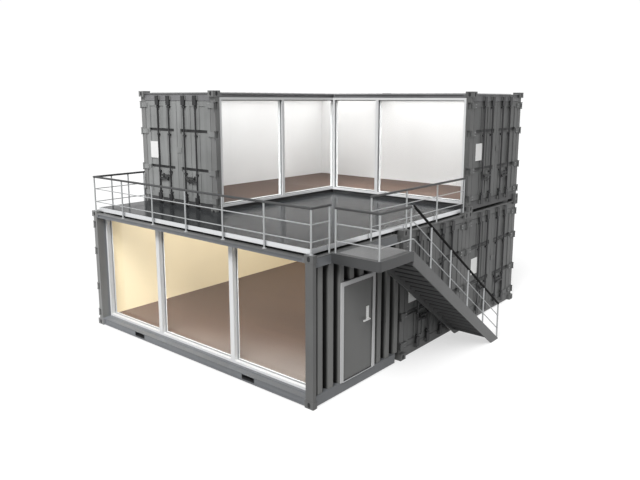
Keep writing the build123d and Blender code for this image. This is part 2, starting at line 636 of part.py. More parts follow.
def window_frame(plane, width, bottom, top, setback, mullion_width, mullions):
    """Build a fixed window frame: outer frame, mullions and glazing beads behind the glass."""
    glass_back = setback + GLASS_THICKNESS
    low = bottom + FRAME_WIDTH
    high = top - FRAME_WIDTH
    with BuildPart(plane) as frame:
        block(0, width, 0, FRAME_DEPTH, bottom, top)
        for left, right in pane_edges(width, mullion_width, mullions):
            block(left, right, 0, glass_back, low, high, mode=Mode.SUBTRACT)
            block(left + GLAZING_BEAD, right - GLAZING_BEAD, glass_back, FRAME_DEPTH,
                  low + GLAZING_BEAD, high - GLAZING_BEAD, mode=Mode.SUBTRACT)
    return frame


def window_glass(plane, width, bottom, top, setback, mullion_width, mullions):
    """Build the sealed glass units that fill a window frame."""
    with BuildPart(plane) as glass:
        for left, right in pane_edges(width, mullion_width, mullions):
            block(left, right, setback, setback + GLASS_THICKNESS, bottom + FRAME_WIDTH,
                  top - FRAME_WIDTH)
    return glass


FRONT_WINDOW = {
    "plane": Plane(origin=(POST_LENGTH, FRONT_WINDOW_RECESS, 0), x_dir=(1, 0, 0), z_dir=(0, 0, 1)),
    "width": LENGTH - 2 * POST_LENGTH,
    "bottom": BOTTOM_RAIL_TOP,
    "top": TOP_RAIL_BOTTOM,
    "setback": FRONT_GLASS_SETBACK,
    "mullion_width": FRONT_MULLION_WIDTH,
    "mullions": [place - POST_LENGTH for place in FRONT_MULLIONS],
}
UPPER_LEFT_WINDOW = {
    "plane": Plane(origin=(WIDTH - UPPER_WINDOW_RECESS, UPPER_FRONT_Y + POST_LENGTH, HEIGHT),
                   x_dir=(0, 1, 0), z_dir=(0, 0, 1)),
    "width": UPPER_FRAME_Y - UPPER_FRONT_Y - POST_LENGTH,
    "bottom": BOTTOM_RAIL_TOP,
    "top": TOP_RAIL_BOTTOM,
    "setback": UPPER_GLASS_SETBACK,
    "mullion_width": UPPER_MULLION_WIDTH,
    "mullions": [REAR_Y - UPPER_LEFT_MULLION_FROM_CORNER - UPPER_FRONT_Y - POST_LENGTH],
}
UPPER_RIGHT_WINDOW = {
    "plane": Plane(origin=(WIDTH, REAR_Y + UPPER_WINDOW_RECESS, HEIGHT),
                   x_dir=(1, 0, 0), z_dir=(0, 0, 1)),
    "width": LENGTH - POST_LENGTH - WIDTH,
    "bottom": BOTTOM_RAIL_TOP,
    "top": TOP_RAIL_BOTTOM,
    "setback": UPPER_GLASS_SETBACK,
    "mullion_width": UPPER_MULLION_WIDTH,
    "mullions": [UPPER_RIGHT_MULLION_FROM_CORNER],
}
save(window_frame(**FRONT_WINDOW), "front_window_frame")
save(window_glass(**FRONT_WINDOW), "front_window_glass")
save(window_frame(**UPPER_LEFT_WINDOW), "upper_left_window_frame")
save(window_frame(**UPPER_RIGHT_WINDOW), "upper_right_window_frame")
save_group([window_glass(**UPPER_LEFT_WINDOW), window_glass(**UPPER_RIGHT_WINDOW)],
           "upper_window_glass")

# ---------------------------------------------------------------- entrance door
WALL_X = LENGTH - END_INSET
FRAME_OUTER_X = WALL_X + DOOR_FRAME_PROUD
LEAF_OUTER_X = FRAME_OUTER_X - DOOR_LEAF_RECESS
LEAF_INNER_X = LEAF_OUTER_X - DOOR_LEAF_THICKNESS
FRAME_INNER_X = INNER_RIGHT - LINING
OPENING_LEFT = DOOR_LEFT + DOOR_FRAME_FACE
OPENING_RIGHT = DOOR_RIGHT - DOOR_FRAME_FACE
OPENING_HEAD = DOOR_HEAD - DOOR_FRAME_FACE
LEAF_LEFT = OPENING_LEFT + DOOR_GAP
LEAF_RIGHT = OPENING_RIGHT - DOOR_GAP
LEAF_BOTTOM = SILL_TOP + DOOR_GAP
LEAF_TOP = OPENING_HEAD - DOOR_GAP
BEAD_X = LEAF_OUTER_X + DOOR_GAP
HINGE_X = LEAF_INNER_X - ENTRANCE_HINGE_RADIUS - ENTRANCE_HINGE_CLEARANCE
HINGE_Y = OPENING_LEFT + ENTRANCE_HINGE_RADIUS + ENTRANCE_HINGE_CLEARANCE
hinge_spots = [(HINGE_X, HINGE_Y, z) for z in ENTRANCE_HINGE_PLACES]
with BuildPart() as entrance_door_frame:
    block(FRAME_INNER_X, FRAME_OUTER_X, DOOR_LEFT, DOOR_RIGHT, SILL_TOP, DOOR_HEAD)
    block(FRAME_INNER_X, INNER_RIGHT, DOOR_LEFT, DOOR_RIGHT, FLOOR_TOP, SILL_TOP)
    block(FRAME_INNER_X, FRAME_OUTER_X, OPENING_LEFT, OPENING_RIGHT, SILL_TOP, OPENING_HEAD,
          mode=Mode.SUBTRACT)
    block(BEAD_X, BEAD_X + BEAD_THICKNESS, OPENING_LEFT, OPENING_RIGHT, SILL_TOP, OPENING_HEAD)
    block(BEAD_X, BEAD_X + BEAD_THICKNESS, OPENING_LEFT + BEAD_WIDTH, OPENING_RIGHT - BEAD_WIDTH,
          SILL_TOP, OPENING_HEAD - BEAD_WIDTH, mode=Mode.SUBTRACT)
    with Locations(*[(x, y, z - ENTRANCE_HINGE_HEIGHT / 2) for x, y, z in hinge_spots]):
        Cylinder(ENTRANCE_HINGE_RADIUS, ENTRANCE_HINGE_HEIGHT - ENTRANCE_KNUCKLE_GAP)
    with Locations(*[(x, (OPENING_LEFT + y) / 2, z - ENTRANCE_HINGE_HEIGHT / 2)
                     for x, y, z in hinge_spots]):
        Box(HINGE_LEAF_THICKNESS, HINGE_Y - OPENING_LEFT, ENTRANCE_HINGE_HEIGHT - DOOR_GAP)
save(entrance_door_frame, "entrance_door_frame")

with BuildPart() as entrance_door_leaf:
    block(LEAF_INNER_X, LEAF_OUTER_X, LEAF_LEFT, LEAF_RIGHT, LEAF_BOTTOM, LEAF_TOP)
    with Locations(*[(x, y, z + ENTRANCE_HINGE_HEIGHT / 2) for x, y, z in hinge_spots]):
        Cylinder(ENTRANCE_HINGE_RADIUS, ENTRANCE_HINGE_HEIGHT - ENTRANCE_KNUCKLE_GAP)
    with Locations(*[((x + LEAF_INNER_X) / 2, y + HINGE_LEAF_REACH / 2,
                      z + ENTRANCE_HINGE_HEIGHT / 2) for x, y, z in hinge_spots]):
        Box(LEAF_INNER_X - HINGE_X, HINGE_LEAF_REACH, ENTRANCE_HINGE_HEIGHT - DOOR_GAP)
save(entrance_door_leaf, "entrance_door_leaf")

HANDLE_Y = LEAF_RIGHT - HANDLE_EDGE
LEVER_Z = HANDLE_PLATE_BOTTOM + LEVER_LIFT
LEVER_END_X = LEAF_OUTER_X + HANDLE_PLATE_THICKNESS + LEVER_REACH
LEVER_END_IN_X = LEAF_INNER_X - HANDLE_PLATE_THICKNESS - LEVER_REACH


def handle_plate(x0, x1):
    """Build one handle plate standing on a face of the door leaf."""
    with BuildPart() as plate:
        block(x0, x1, HANDLE_Y - HANDLE_PLATE_WIDTH / 2, HANDLE_Y + HANDLE_PLATE_WIDTH / 2,
              HANDLE_PLATE_BOTTOM, HANDLE_PLATE_BOTTOM + HANDLE_PLATE_HEIGHT)
    return plate


def lever(plate_x, end_x):
    """Build one lever: a neck out from its plate and a grip towards the hinges."""
    with BuildPart() as grip:
        with Locations(((plate_x + end_x) / 2, HANDLE_Y, LEVER_Z)):
            Cylinder(LEVER_RADIUS, abs(end_x - plate_x), rotation=(0, 90, 0))
        with Locations((end_x, HANDLE_Y, LEVER_Z)):
            Sphere(LEVER_RADIUS)
        with Locations((end_x, HANDLE_Y - LEVER_LENGTH / 2, LEVER_Z)):
            Cylinder(LEVER_RADIUS, LEVER_LENGTH, rotation=(90, 0, 0))
    return grip


OUTER_PLATE_X = LEAF_OUTER_X + HANDLE_PLATE_THICKNESS
INNER_PLATE_X = LEAF_INNER_X - HANDLE_PLATE_THICKNESS
save_group([handle_plate(LEAF_OUTER_X, OUTER_PLATE_X), handle_plate(INNER_PLATE_X, LEAF_INNER_X),
            lever(OUTER_PLATE_X, LEVER_END_X), lever(INNER_PLATE_X, LEVER_END_IN_X)],
           "entrance_door_handles")


# ---------------------------------------------------------------- cargo doors
def cargo_leaf(far):
    """Build one cargo door leaf in the frame of its unit, with hinges, bands and plates."""
    v_edge = WIDTH if far else 0
    v0, v1 = inward(v_edge, POST_WIDTH + LEAF_EDGE_GAP, (WIDTH - LEAF_MEETING_GAP) / 2, far)
    outer = LENGTH - LEAF_INSET
    low = SILL_TOP + LEAF_END_GAP
    high = HEADER_BOTTOM - LEAF_END_GAP
    with BuildPart() as leaf:
        block(outer - LEAF_THICKNESS, outer, v0, v1, low, high)
        starts = [low + LEAF_BORDER] + [place + BAND_HEIGHT / 2 for place in BAND_PLACES]
        stops = [place - BAND_HEIGHT / 2 for place in BAND_PLACES] + [high - LEAF_BORDER]
        p0 = v0 + LEAF_BORDER
        p1 = v1 - LEAF_BORDER
        rib_pitch = (p1 - p0) / PANEL_RIBS
        for start, stop in zip(starts, stops):
            for rib in range(PANEL_RIBS):
                centre = p0 + (rib + 1 / 2) * rib_pitch
                half = (rib_pitch - PANEL_RIB_WIDTH) / 2
                block(outer - PANEL_RECESS, outer, centre - half, centre + half, start, stop,
                      mode=Mode.SUBTRACT)
        for place in BAND_PLACES:
            block(outer - BAND_RECESS, outer, p0, p1, place - BAND_HEIGHT / 2,
                  place + BAND_HEIGHT / 2, mode=Mode.SUBTRACT)
        pin_u = LENGTH - HINGE_PIN_INSET
        pin_v = WIDTH - HINGE_PIN_SIDE if far else HINGE_PIN_SIDE
        blade_v0, blade_v1 = inward(v_edge, HINGE_PIN_SIDE, HINGE_BLADE_REACH, far)
        pad_v0, pad_v1 = inward(v_edge, POST_WIDTH + LEAF_EDGE_GAP, HINGE_BLADE_REACH, far)
        blade_thickness = HINGE_BLADE_INNER - HINGE_BLADE_OUTER
        blade_u = LENGTH - (HINGE_BLADE_INNER + HINGE_BLADE_OUTER) / 2
        pad_thickness = LEAF_INSET - HINGE_BLADE_INNER
        pad_u = LENGTH - (LEAF_INSET + HINGE_BLADE_INNER) / 2
        with Locations(*[(pin_u, pin_v, z) for z in HINGE_PLACES]):
            Cylinder(HINGE_KNUCKLE_RADIUS, HINGE_BLADE_HEIGHT)
        with Locations(*[(blade_u, (blade_v0 + blade_v1) / 2, z) for z in HINGE_PLACES]):
            Box(blade_thickness, blade_v1 - blade_v0, HINGE_BLADE_HEIGHT)
        with Locations(*[(pad_u, (pad_v0 + pad_v1) / 2, z) for z in HINGE_PLACES]):
            Box(pad_thickness, pad_v1 - pad_v0, HINGE_BLADE_HEIGHT)
        with Locations(*[(pin_u, pin_v, z) for z in HINGE_PLACES]):
            Cylinder(HINGE_PIN_RADIUS + HINGE_PIN_CLEARANCE, HINGE_BLADE_HEIGHT,
                     mode=Mode.SUBTRACT)
        if far:
            block(outer, outer + LOCK_BOX_THICKNESS, v0, v0 + LOCK_BOX_WIDTH, LOCK_BOX_BOTTOM,
                  LOCK_BOX_BOTTOM + LOCK_BOX_HEIGHT)
        else:
            block(outer, outer + PLACARD_THICKNESS, PLACARD_START, PLACARD_START + PLACARD_WIDTH,
                  PLACARD_BOTTOM, PLACARD_BOTTOM + PLACARD_HEIGHT)
    return leaf


def lock_rods(far):
    """Build the two lock rods of one leaf with their cams, guide brackets and handles."""
    places = [WIDTH - place if far else place for place in ROD_PLACES]
    rod_u = LENGTH - ROD_INSET
    face = LENGTH - LEAF_INSET
    handle_u0 = rod_u
    handle_u1 = rod_u + ROD_RADIUS + HANDLE_BAR_THICKNESS / 2
    with BuildPart() as rods:
        with Locations(*[(rod_u, v, (ROD_BOTTOM + ROD_TOP) / 2) for v in places]):
            Cylinder(ROD_RADIUS, ROD_TOP - ROD_BOTTOM)
        cam_length = CAM_FACE + ROD_RADIUS
        cam_u = LENGTH - CAM_FACE - cam_length / 2
        cams = [(cam_u, v, z) for v in places
                for z in (ROD_BOTTOM + CAM_HEIGHT / 2, ROD_TOP - CAM_HEIGHT / 2)]
        with Locations(*cams):
            Box(cam_length, CAM_WIDTH, CAM_HEIGHT)
        for v, bracket_length in zip(places, (rod_u - face, rod_u - face + PANEL_RECESS)):
            with Locations(*[(rod_u - bracket_length / 2, v, z) for z in BRACKET_PLACES]):
                Box(bracket_length, BRACKET_WIDTH, BRACKET_HEIGHT)
        for count, v in enumerate(places):
            towards_middle = (v < WIDTH / 2) == (count == 0)
            v0 = v if towards_middle else v - HANDLE_BAR_LENGTH
            z0 = HANDLE_BAR_BOTTOM + count * HANDLE_BAR_STEP
            block(handle_u0, handle_u1, v0, v0 + HANDLE_BAR_LENGTH, z0, z0 + HANDLE_BAR_HEIGHT)
    return rods


LEAVES = {far: cargo_leaf(far) for far in (False, True)}
RODS = {far: lock_rods(far) for far in (False, True)}


def placed(builders, planes, name):
    """Place door sub-parts into the frames of the units that carry them and save them."""
    with BuildPart() as group:
        add([plane.location * builder.part for plane in planes for builder in builders])
    save(group, name)


FIXED_LOWER = [LOWER_PLANES["front"], LOWER_PLANES["middle"]]
FIXED_UPPER = list(UPPER_PLANES.values())
placed(LEAVES.values(), FIXED_LOWER, "lower_fixed_cargo_doors")
placed(LEAVES.values(), FIXED_UPPER, "upper_cargo_doors")
placed(RODS.values(), FIXED_LOWER + FIXED_UPPER, "fixed_lock_rods")
placed([LEAVES[False]], [LOWER_PLANES["rear"]], "rear_door_left")
placed([LEAVES[True]], [LOWER_PLANES["rear"]], "rear_door_right")
placed([RODS[False]], [LOWER_PLANES["rear"]], "rear_left_lock_rods")
placed([RODS[True]], [LOWER_PLANES["rear"]], "rear_right_lock_rods")

# ---------------------------------------------------------------- terrace deck
def spread(start, stop, bays):
    """Return evenly spaced places from start to stop."""
    return [start + (stop - start) * step / bays for step in range(bays + 1)]


DECK_LEFT = CASTING_LENGTH + TRIM_THICKNESS
DECK_RIGHT = LENGTH - DECK_SIDE_INSET
DECK_BACK = REAR_Y - DECK_CLEARANCE
DECK_STEP_Y = UPPER_FRONT_Y - DECK_CLEARANCE
DECK_STEP_X = WIDTH + DECK_CLEARANCE
with BuildPart() as deck_floor:
    block(DECK_LEFT, DECK_RIGHT, DECK_FRONT_INSET, DECK_STEP_Y, HEIGHT, DECK_TOP)
    block(DECK_STEP_X, DECK_RIGHT, DECK_FRONT_INSET, DECK_BACK, HEIGHT, DECK_TOP)
save(deck_floor, "deck_floor")

with BuildPart() as deck_joists:
    for x in spread(DECK_LEFT + JOIST_MARGIN, DECK_RIGHT - JOIST_MARGIN, JOIST_BAYS):
        back = DECK_STEP_Y if x < DECK_STEP_X + JOIST_WIDTH else DECK_BACK
        block(x - JOIST_WIDTH / 2, x + JOIST_WIDTH / 2, DECK_FRONT_INSET + JOIST_INSET,
              back - JOIST_INSET, ROOF_TOP, HEIGHT)
save(deck_joists, "deck_joists")

TRIM_TOP = DECK_TOP + TRIM_LIP
with BuildPart() as deck_edge_trim:
    block(DECK_LEFT - TRIM_THICKNESS, DECK_RIGHT + TRIM_THICKNESS,
          DECK_FRONT_INSET - TRIM_THICKNESS, DECK_FRONT_INSET, HEIGHT, TRIM_TOP)
    block(DECK_RIGHT, DECK_RIGHT + TRIM_THICKNESS, DECK_FRONT_INSET, DECK_BACK, HEIGHT, TRIM_TOP)
    block(DECK_LEFT - TRIM_THICKNESS, DECK_LEFT, DECK_FRONT_INSET, DECK_STEP_Y, HEIGHT, TRIM_TOP)
save(deck_edge_trim, "deck_edge_trim")


# ---------------------------------------------------------------- terrace railings
def foot_level(x, y):
    """Return the level that a railing post stands on: a corner casting's top or the roof."""
    over_end = min(x, LENGTH - x) < CASTING_LENGTH + RAILING_POST_RADIUS
    over_side = min(y % WIDTH, WIDTH - y % WIDTH) < CASTING_WIDTH + RAILING_POST_RADIUS
    return HEIGHT if over_end and over_side else ROOF_TOP


def upright(x, y, base, top):
    """Add one round railing post to the part being built."""
    with Locations((x, y, (base + top) / 2)):
        Cylinder(RAILING_POST_RADIUS, top - base)


def level_railing(places, along_x, start, stop, offset, base):
    """Build a straight level railing: posts, top rail and two bars."""
    turn = (0, 90, 0) if along_x else (90, 0, 0)
    middle = (start + stop) / 2
    with BuildPart() as railing:
        for place in places:
            x, y = (place, offset) if along_x else (offset, place)
            upright(x, y, foot_level(x, y), base + RAILING_HEIGHT)
        centre = (middle, offset) if along_x else (offset, middle)
        with Locations((*centre, base + RAILING_HEIGHT)):
            Cylinder(RAILING_TOP_RADIUS, stop - start, rotation=turn)
        with Locations(*[(*centre, base + rise) for rise in RAILING_BAR_HEIGHTS]):
            Cylinder(RAILING_BAR_RADIUS, stop - start, rotation=turn)
    return railing


RAIL_X0 = RAILING_SIDE_INSET
RAIL_X1 = LENGTH - RAILING_SIDE_INSET
SIDE_START = RAILING_INSET
LEFT_END = UPPER_FRONT_Y - DECK_CLEARANCE - RAILING_TOP_RADIUS
save(level_railing(spread(RAIL_X0, RAIL_X1, FRONT_RAILING_BAYS), True,
                   RAIL_X0, RAIL_X1, RAILING_INSET, HEIGHT), "front_railing")
save(level_railing(spread(SIDE_START, LEFT_END, LEFT_RAILING_BAYS + 1)[1:], False,
                   SIDE_START + RAILING_TOP_RADIUS, LEFT_END, RAIL_X0, HEIGHT), "left_railing")
save_group([level_railing([GATE_START], False, SIDE_START + RAILING_TOP_RADIUS,
                          GATE_START + RAILING_TOP_RADIUS, RAIL_X1, HEIGHT),
            level_railing(spread(GATE_END, RIGHT_RAILING_END, RIGHT_RAILING_BAYS), False,
                          GATE_END, RIGHT_RAILING_END, RAIL_X1, HEIGHT)], "right_railing")

# ---------------------------------------------------------------- landing and stair
LANDING_X0 = WALL_X
LANDING_X1 = LENGTH + LANDING_REACH
LANDING_END = LANDING_START + LANDING_LENGTH
with BuildPart() as landing:
    block(LANDING_X0, LANDING_X1, LANDING_START, LANDING_END,
          LANDING_TOP - LANDING_THICKNESS, LANDING_TOP)
    fillet(landing.edges().filter_by(Axis.Z).group_by(Axis.X)[-1].sort_by(Axis.Y)[0],
           LANDING_CORNER)
save(landing, "landing")

RISER = LANDING_TOP / STAIR_RISERS
SLOPE = LANDING_TOP / STAIR_RUN
STRINGER_X = (LENGTH + STAIR_CLEARANCE, LANDING_X1 - STRINGER_THICKNESS)
STAIR_END = LANDING_END + STAIR_RUN
stringers = []
for x in STRINGER_X:
    with BuildPart() as stringer:
        with BuildSketch(Plane(origin=(x, LANDING_END, 0), x_dir=(0, 1, 0), z_dir=(1, 0, 0))):
            with BuildLine():
                Polyline((0, LANDING_TOP), (STAIR_RUN, 0), (STAIR_RUN - STRINGER_DEPTH / SLOPE, 0),
                         (0, LANDING_TOP - STRINGER_DEPTH), close=True)
            make_face()
        extrude(amount=STRINGER_THICKNESS)
    stringers.append(stringer)
save_group(stringers, "stair_stringers")

with BuildPart() as stair_treads:
    treads = []
    for step in range(1, STAIR_RISERS):
        front = LANDING_END + step * STAIR_GOING
        treads.append(((STRINGER_X[0] + STRINGER_THICKNESS + STRINGER_X[1]) / 2,
                       front - (STAIR_GOING - TREAD_NOSING) / 2,
                       LANDING_TOP - step * RISER - TREAD_THICKNESS / 2))
    with Locations(*treads):
        Box(STRINGER_X[1] - STRINGER_X[0] - STRINGER_THICKNESS, STAIR_GOING + TREAD_NOSING,
            TREAD_THICKNESS)
save(stair_treads, "stair_treads")

with BuildPart() as stair_risers:
    for step in range(STAIR_RISERS - 1):
        face = LANDING_END + step * STAIR_GOING
        hung = TREAD_THICKNESS if step else LANDING_THICKNESS
        block(STRINGER_X[0] + STRINGER_THICKNESS, STRINGER_X[1], face - RISER_THICKNESS, face,
              LANDING_TOP - (step + 1) * RISER - TREAD_THICKNESS,
              LANDING_TOP - step * RISER - hung)
save(stair_risers, "stair_risers")


def rod_between(start, stop, radius):
    """Build a round bar between two points."""
    axis = Vector(*stop) - Vector(*start)
    with BuildPart(Plane(origin=start, z_dir=axis)) as bar:
        with Locations((0, 0, axis.length / 2)):
            Cylinder(radius, axis.length)
    return bar


LANDING_LINE_X = LANDING_X1 - LANDING_RAILING_INSET
LANDING_RAIL_Y = LANDING_START + RAILING_INSET
INNER_POST_X = LENGTH + RAILING_POST_RADIUS
LANDING_RAIL_TOP = LANDING_TOP + RAILING_HEIGHT
with BuildPart() as landing_posts:
    upright(INNER_POST_X, LANDING_RAIL_Y, LANDING_TOP, LANDING_RAIL_TOP)
    upright(LANDING_LINE_X, LANDING_RAIL_Y, LANDING_TOP, LANDING_RAIL_TOP)
    upright(LANDING_LINE_X, LANDING_END - RAILING_INSET, LANDING_TOP, LANDING_RAIL_TOP)
landing_bars = []
for rise, radius in [(RAILING_HEIGHT, RAILING_TOP_RADIUS)] + [
        (height, RAILING_BAR_RADIUS) for height in RAILING_BAR_HEIGHTS]:
    z = LANDING_TOP + rise
    landing_bars.append(rod_between((INNER_POST_X, LANDING_RAIL_Y, z),
                                    (LANDING_LINE_X, LANDING_RAIL_Y, z), radius))
    landing_bars.append(rod_between((LANDING_LINE_X, LANDING_RAIL_Y, z),
                                    (LANDING_LINE_X, LANDING_END - RAILING_INSET, z), radius))
save_group([landing_posts] + landing_bars, "landing_railing")

STAIR_LINE_X = LANDING_X1 - STRINGER_THICKNESS / 2
stair_places = spread(LANDING_END + STAIR_RAILING_START, STAIR_END - STAIR_RAILING_END,
                      STAIR_RAILING_POSTS - 1)
with BuildPart() as stair_posts:
    for y in stair_places:
        line = LANDING_TOP - (y - LANDING_END) * SLOPE
        upright(STAIR_LINE_X, y, line - RAILING_POST_RADIUS * SLOPE, line + STAIR_RAILING_HEIGHT)
    add(stringers[-1].part, mode=Mode.SUBTRACT)
stair_bars = []
for rise, radius in [(STAIR_RAILING_HEIGHT, RAILING_TOP_RADIUS)] + [
        (height, RAILING_BAR_RADIUS) for height in RAILING_BAR_HEIGHTS]:
    last = stair_places[-1]
    start = (LANDING_LINE_X, LANDING_END - RAILING_INSET + RAILING_TOP_RADIUS + RAILING_END_GAP,
             LANDING_TOP + rise)
    bend = (STAIR_LINE_X, LANDING_END, LANDING_TOP + rise)
    foot = (STAIR_LINE_X, last, LANDING_TOP + rise - (last - LANDING_END) * SLOPE)
    stair_bars.append(rod_between(start, bend, radius))
    stair_bars.append(rod_between(bend, foot, radius))
save_group([stair_posts] + stair_bars, "stair_railing")
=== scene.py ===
"""Finishes, small parts and studio of a two-storey cabin made of shipping containers."""

import json
import logging
import math
from dataclasses import asdict, dataclass, field
from enum import Enum
from typing import ClassVar

import bpy
import numpy as np
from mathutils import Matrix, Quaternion, Vector


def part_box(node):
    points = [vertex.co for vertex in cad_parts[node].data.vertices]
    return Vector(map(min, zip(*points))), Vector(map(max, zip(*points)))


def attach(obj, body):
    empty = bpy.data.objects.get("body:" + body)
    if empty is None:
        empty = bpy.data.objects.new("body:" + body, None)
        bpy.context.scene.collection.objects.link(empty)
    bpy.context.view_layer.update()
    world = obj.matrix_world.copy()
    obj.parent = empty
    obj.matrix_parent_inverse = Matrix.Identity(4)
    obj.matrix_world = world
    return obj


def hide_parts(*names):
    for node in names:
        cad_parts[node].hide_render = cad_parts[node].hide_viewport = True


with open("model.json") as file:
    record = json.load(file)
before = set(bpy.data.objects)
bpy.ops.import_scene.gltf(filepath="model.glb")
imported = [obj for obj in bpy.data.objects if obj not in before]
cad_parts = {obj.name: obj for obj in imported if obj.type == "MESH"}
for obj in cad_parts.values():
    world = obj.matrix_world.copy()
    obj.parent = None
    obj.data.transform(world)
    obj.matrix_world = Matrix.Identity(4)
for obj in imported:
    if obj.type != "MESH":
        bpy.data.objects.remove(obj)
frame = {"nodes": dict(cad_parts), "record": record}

log = logging.getLogger("cabin")
Pair = tuple[float, float]
Triple = tuple[float, float, float]
Socket = bpy.types.NodeSocket

UP = np.array((0.0, 0.0, 1.0))
RIGHT = np.array((1.0, 0.0, 0.0))
REAR = np.array((0.0, 1.0, 0.0))
DOME_SINES = (0.35, 0.7, 0.93)
WHITE = (1.0, 1.0, 1.0, 1.0)
TOLERANCE = 0.0005


# ---------------------------------------------------------------- names of options
class Slot(Enum):
    """The record's material slots."""

    CONTAINER = "container_paint"
    HARDWARE = "door_hardware"
    FRAME = "window_frame"
    ENTRANCE = "entrance_door_paint"
    HANDLE = "door_handle_metal"
    TRIM = "trim_aluminium"
    RAILING = "railing_steel"
    LANDING = "landing_paint"
    STAIR = "stair_paint"


class Body(Enum):
    """The bodies that pieces ride on."""

    CABIN = "cabin"
    ENTRANCE = "entrance_door"
    REAR_LEFT = "rear_door_left"
    REAR_RIGHT = "rear_door_right"


class Ray(Enum):
    """The rays that see the studio's plain white."""

    CAMERA = "Is Camera Ray"
    GLOSSY = "Is Glossy Ray"
    TRANSMISSION = "Is Transmission Ray"


# ---------------------------------------------------------------- surfaces
@dataclass
class Shell:
    """Closed surfaces: points as an (n, 3) array, and lists of faces by point number."""

    points: np.ndarray
    faces: list[np.ndarray]

    def volume(self) -> float:
        """Signed volume: a sixth of the sum of each face fan's scalar triple products.

        Returns:
            The volume, above 0 where the faces point outwards.
        """
        total = 0.0
        for block in self.faces:
            corners = self.points[block]
            first = corners[:, :1]
            cross = np.cross(corners[:, 1:-1] - first, corners[:, 2:] - first)
            total += float((np.repeat(first, cross.shape[1], 1) * cross).sum())
        return total / 6

    def outward(self) -> "Shell":
        """The same shell with every face turned outwards."""
        turned = self.faces if self.volume() >= 0 else [block[:, ::-1] for block in self.faces]
        return Shell(self.points, turned)

    def copies(self, spots: np.ndarray, axis: np.ndarray, along: np.ndarray) -> "Shell":
        """Copy the shell to many spots, its own z turned to axis and its x to along.

        Args:
            spots: Where each copy's origin goes, as an (m, 3) array.
            axis: The direction of the shell's own z.
            along: The direction of the shell's own x.

        Returns:
            One shell that holds all copies.
        """
        z = unit(axis)
        x = unit(along)
        turn = np.stack([x, np.cross(z, x), z])
        spots = np.asarray(spots, float).reshape(-1, 3)
        points = (self.points @ turn)[None] + spots[:, None]
        step = len(self.points) * np.arange(len(spots))
        faces = [(block[None] + step[:, None, None]).reshape(-1, block.shape[1])
                 for block in self.faces]
        return Shell(points.reshape(-1, 3), faces)


def unit(vector: np.ndarray) -> np.ndarray:
    """A vector divided by its length."""
    vector = np.asarray(vector, float)
    return vector / np.linalg.norm(vector)


def joined(shells: list[Shell]) -> Shell:
    """Put several shells into one.

    Args:
        shells: The shells, in order.

    Returns:
        One shell, each part's face numbers moved up by the points before it.
    """
    starts = np.cumsum([0] + [len(shell.points) for shell in shells[:-1]])
    faces = [block + start for shell, start in zip(shells, starts) for block in shell.faces]
    return Shell(np.concatenate([shell.points for shell in shells]), faces)


def lofted(rings: np.ndarray, closed: bool = False) -> Shell:
    """Skin rings of points with four-sided faces: point (i, j) joins (i + 1, j + 1).

    Args:
        rings: A (k, n, 3) array of k rings with n points each.
        closed: True where the last ring joins the first, and so there are no end faces.

    Returns:
        The closed shell, with its faces outwards.
    """
    count, size, _ = rings.shape
    index = np.arange(count * size).reshape(count, size)
    low = index if closed else index[:-1]
    high = np.roll(index, -1, 0) if closed else index[1:]
    quads = np.stack([low, np.roll(low, -1, 1), np.roll(high, -1, 1), high], -1)
    faces = [quads.reshape(-1, 4)]
    if not closed:
        faces += [index[:1, ::-1].copy(), index[-1:].copy()]
    return Shell(rings.reshape(-1, 3), faces).outward()


def raised(outlines: list[np.ndarray], heights: tuple[float, ...]) -> Shell:
    """Skin flat outlines, as (n, 2) arrays, one lying at each height."""
    return lofted(np.stack([np.column_stack([outline, np.full(len(outline), height)])
                            for outline, height in zip(outlines, heights)]))


def circle(radius: float, sides: int, turn: float = 0.0) -> np.ndarray:
    """Points radius * (cos t, sin t) for t evenly spaced round a circle, as (sides, 2)."""
    t = turn + np.linspace(0, 2 * np.pi, sides, endpoint=False)
    return radius * np.stack([np.cos(t), np.sin(t)], -1)


def half_circle(radius: float) -> np.ndarray:
    """Points radius * (cos t, sin t) for nine even steps of t from 0 to pi, as (9, 2)."""
    t = np.linspace(0, np.pi, 9)
    return radius * np.stack([np.cos(t), np.sin(t)], -1)


def soft_rectangle(width: float, depth: float, chamfer: float) -> np.ndarray:
    """A rectangle about the origin whose four corners are cut by chamfer, as (8, 2)."""
    x, y, c = width / 2, depth / 2, chamfer
    return np.array([(x - c, -y), (x, c - y), (x, y - c), (x - c, y),
                     (c - x, y), (-x, y - c), (-x, c - y), (c - x, -y)])


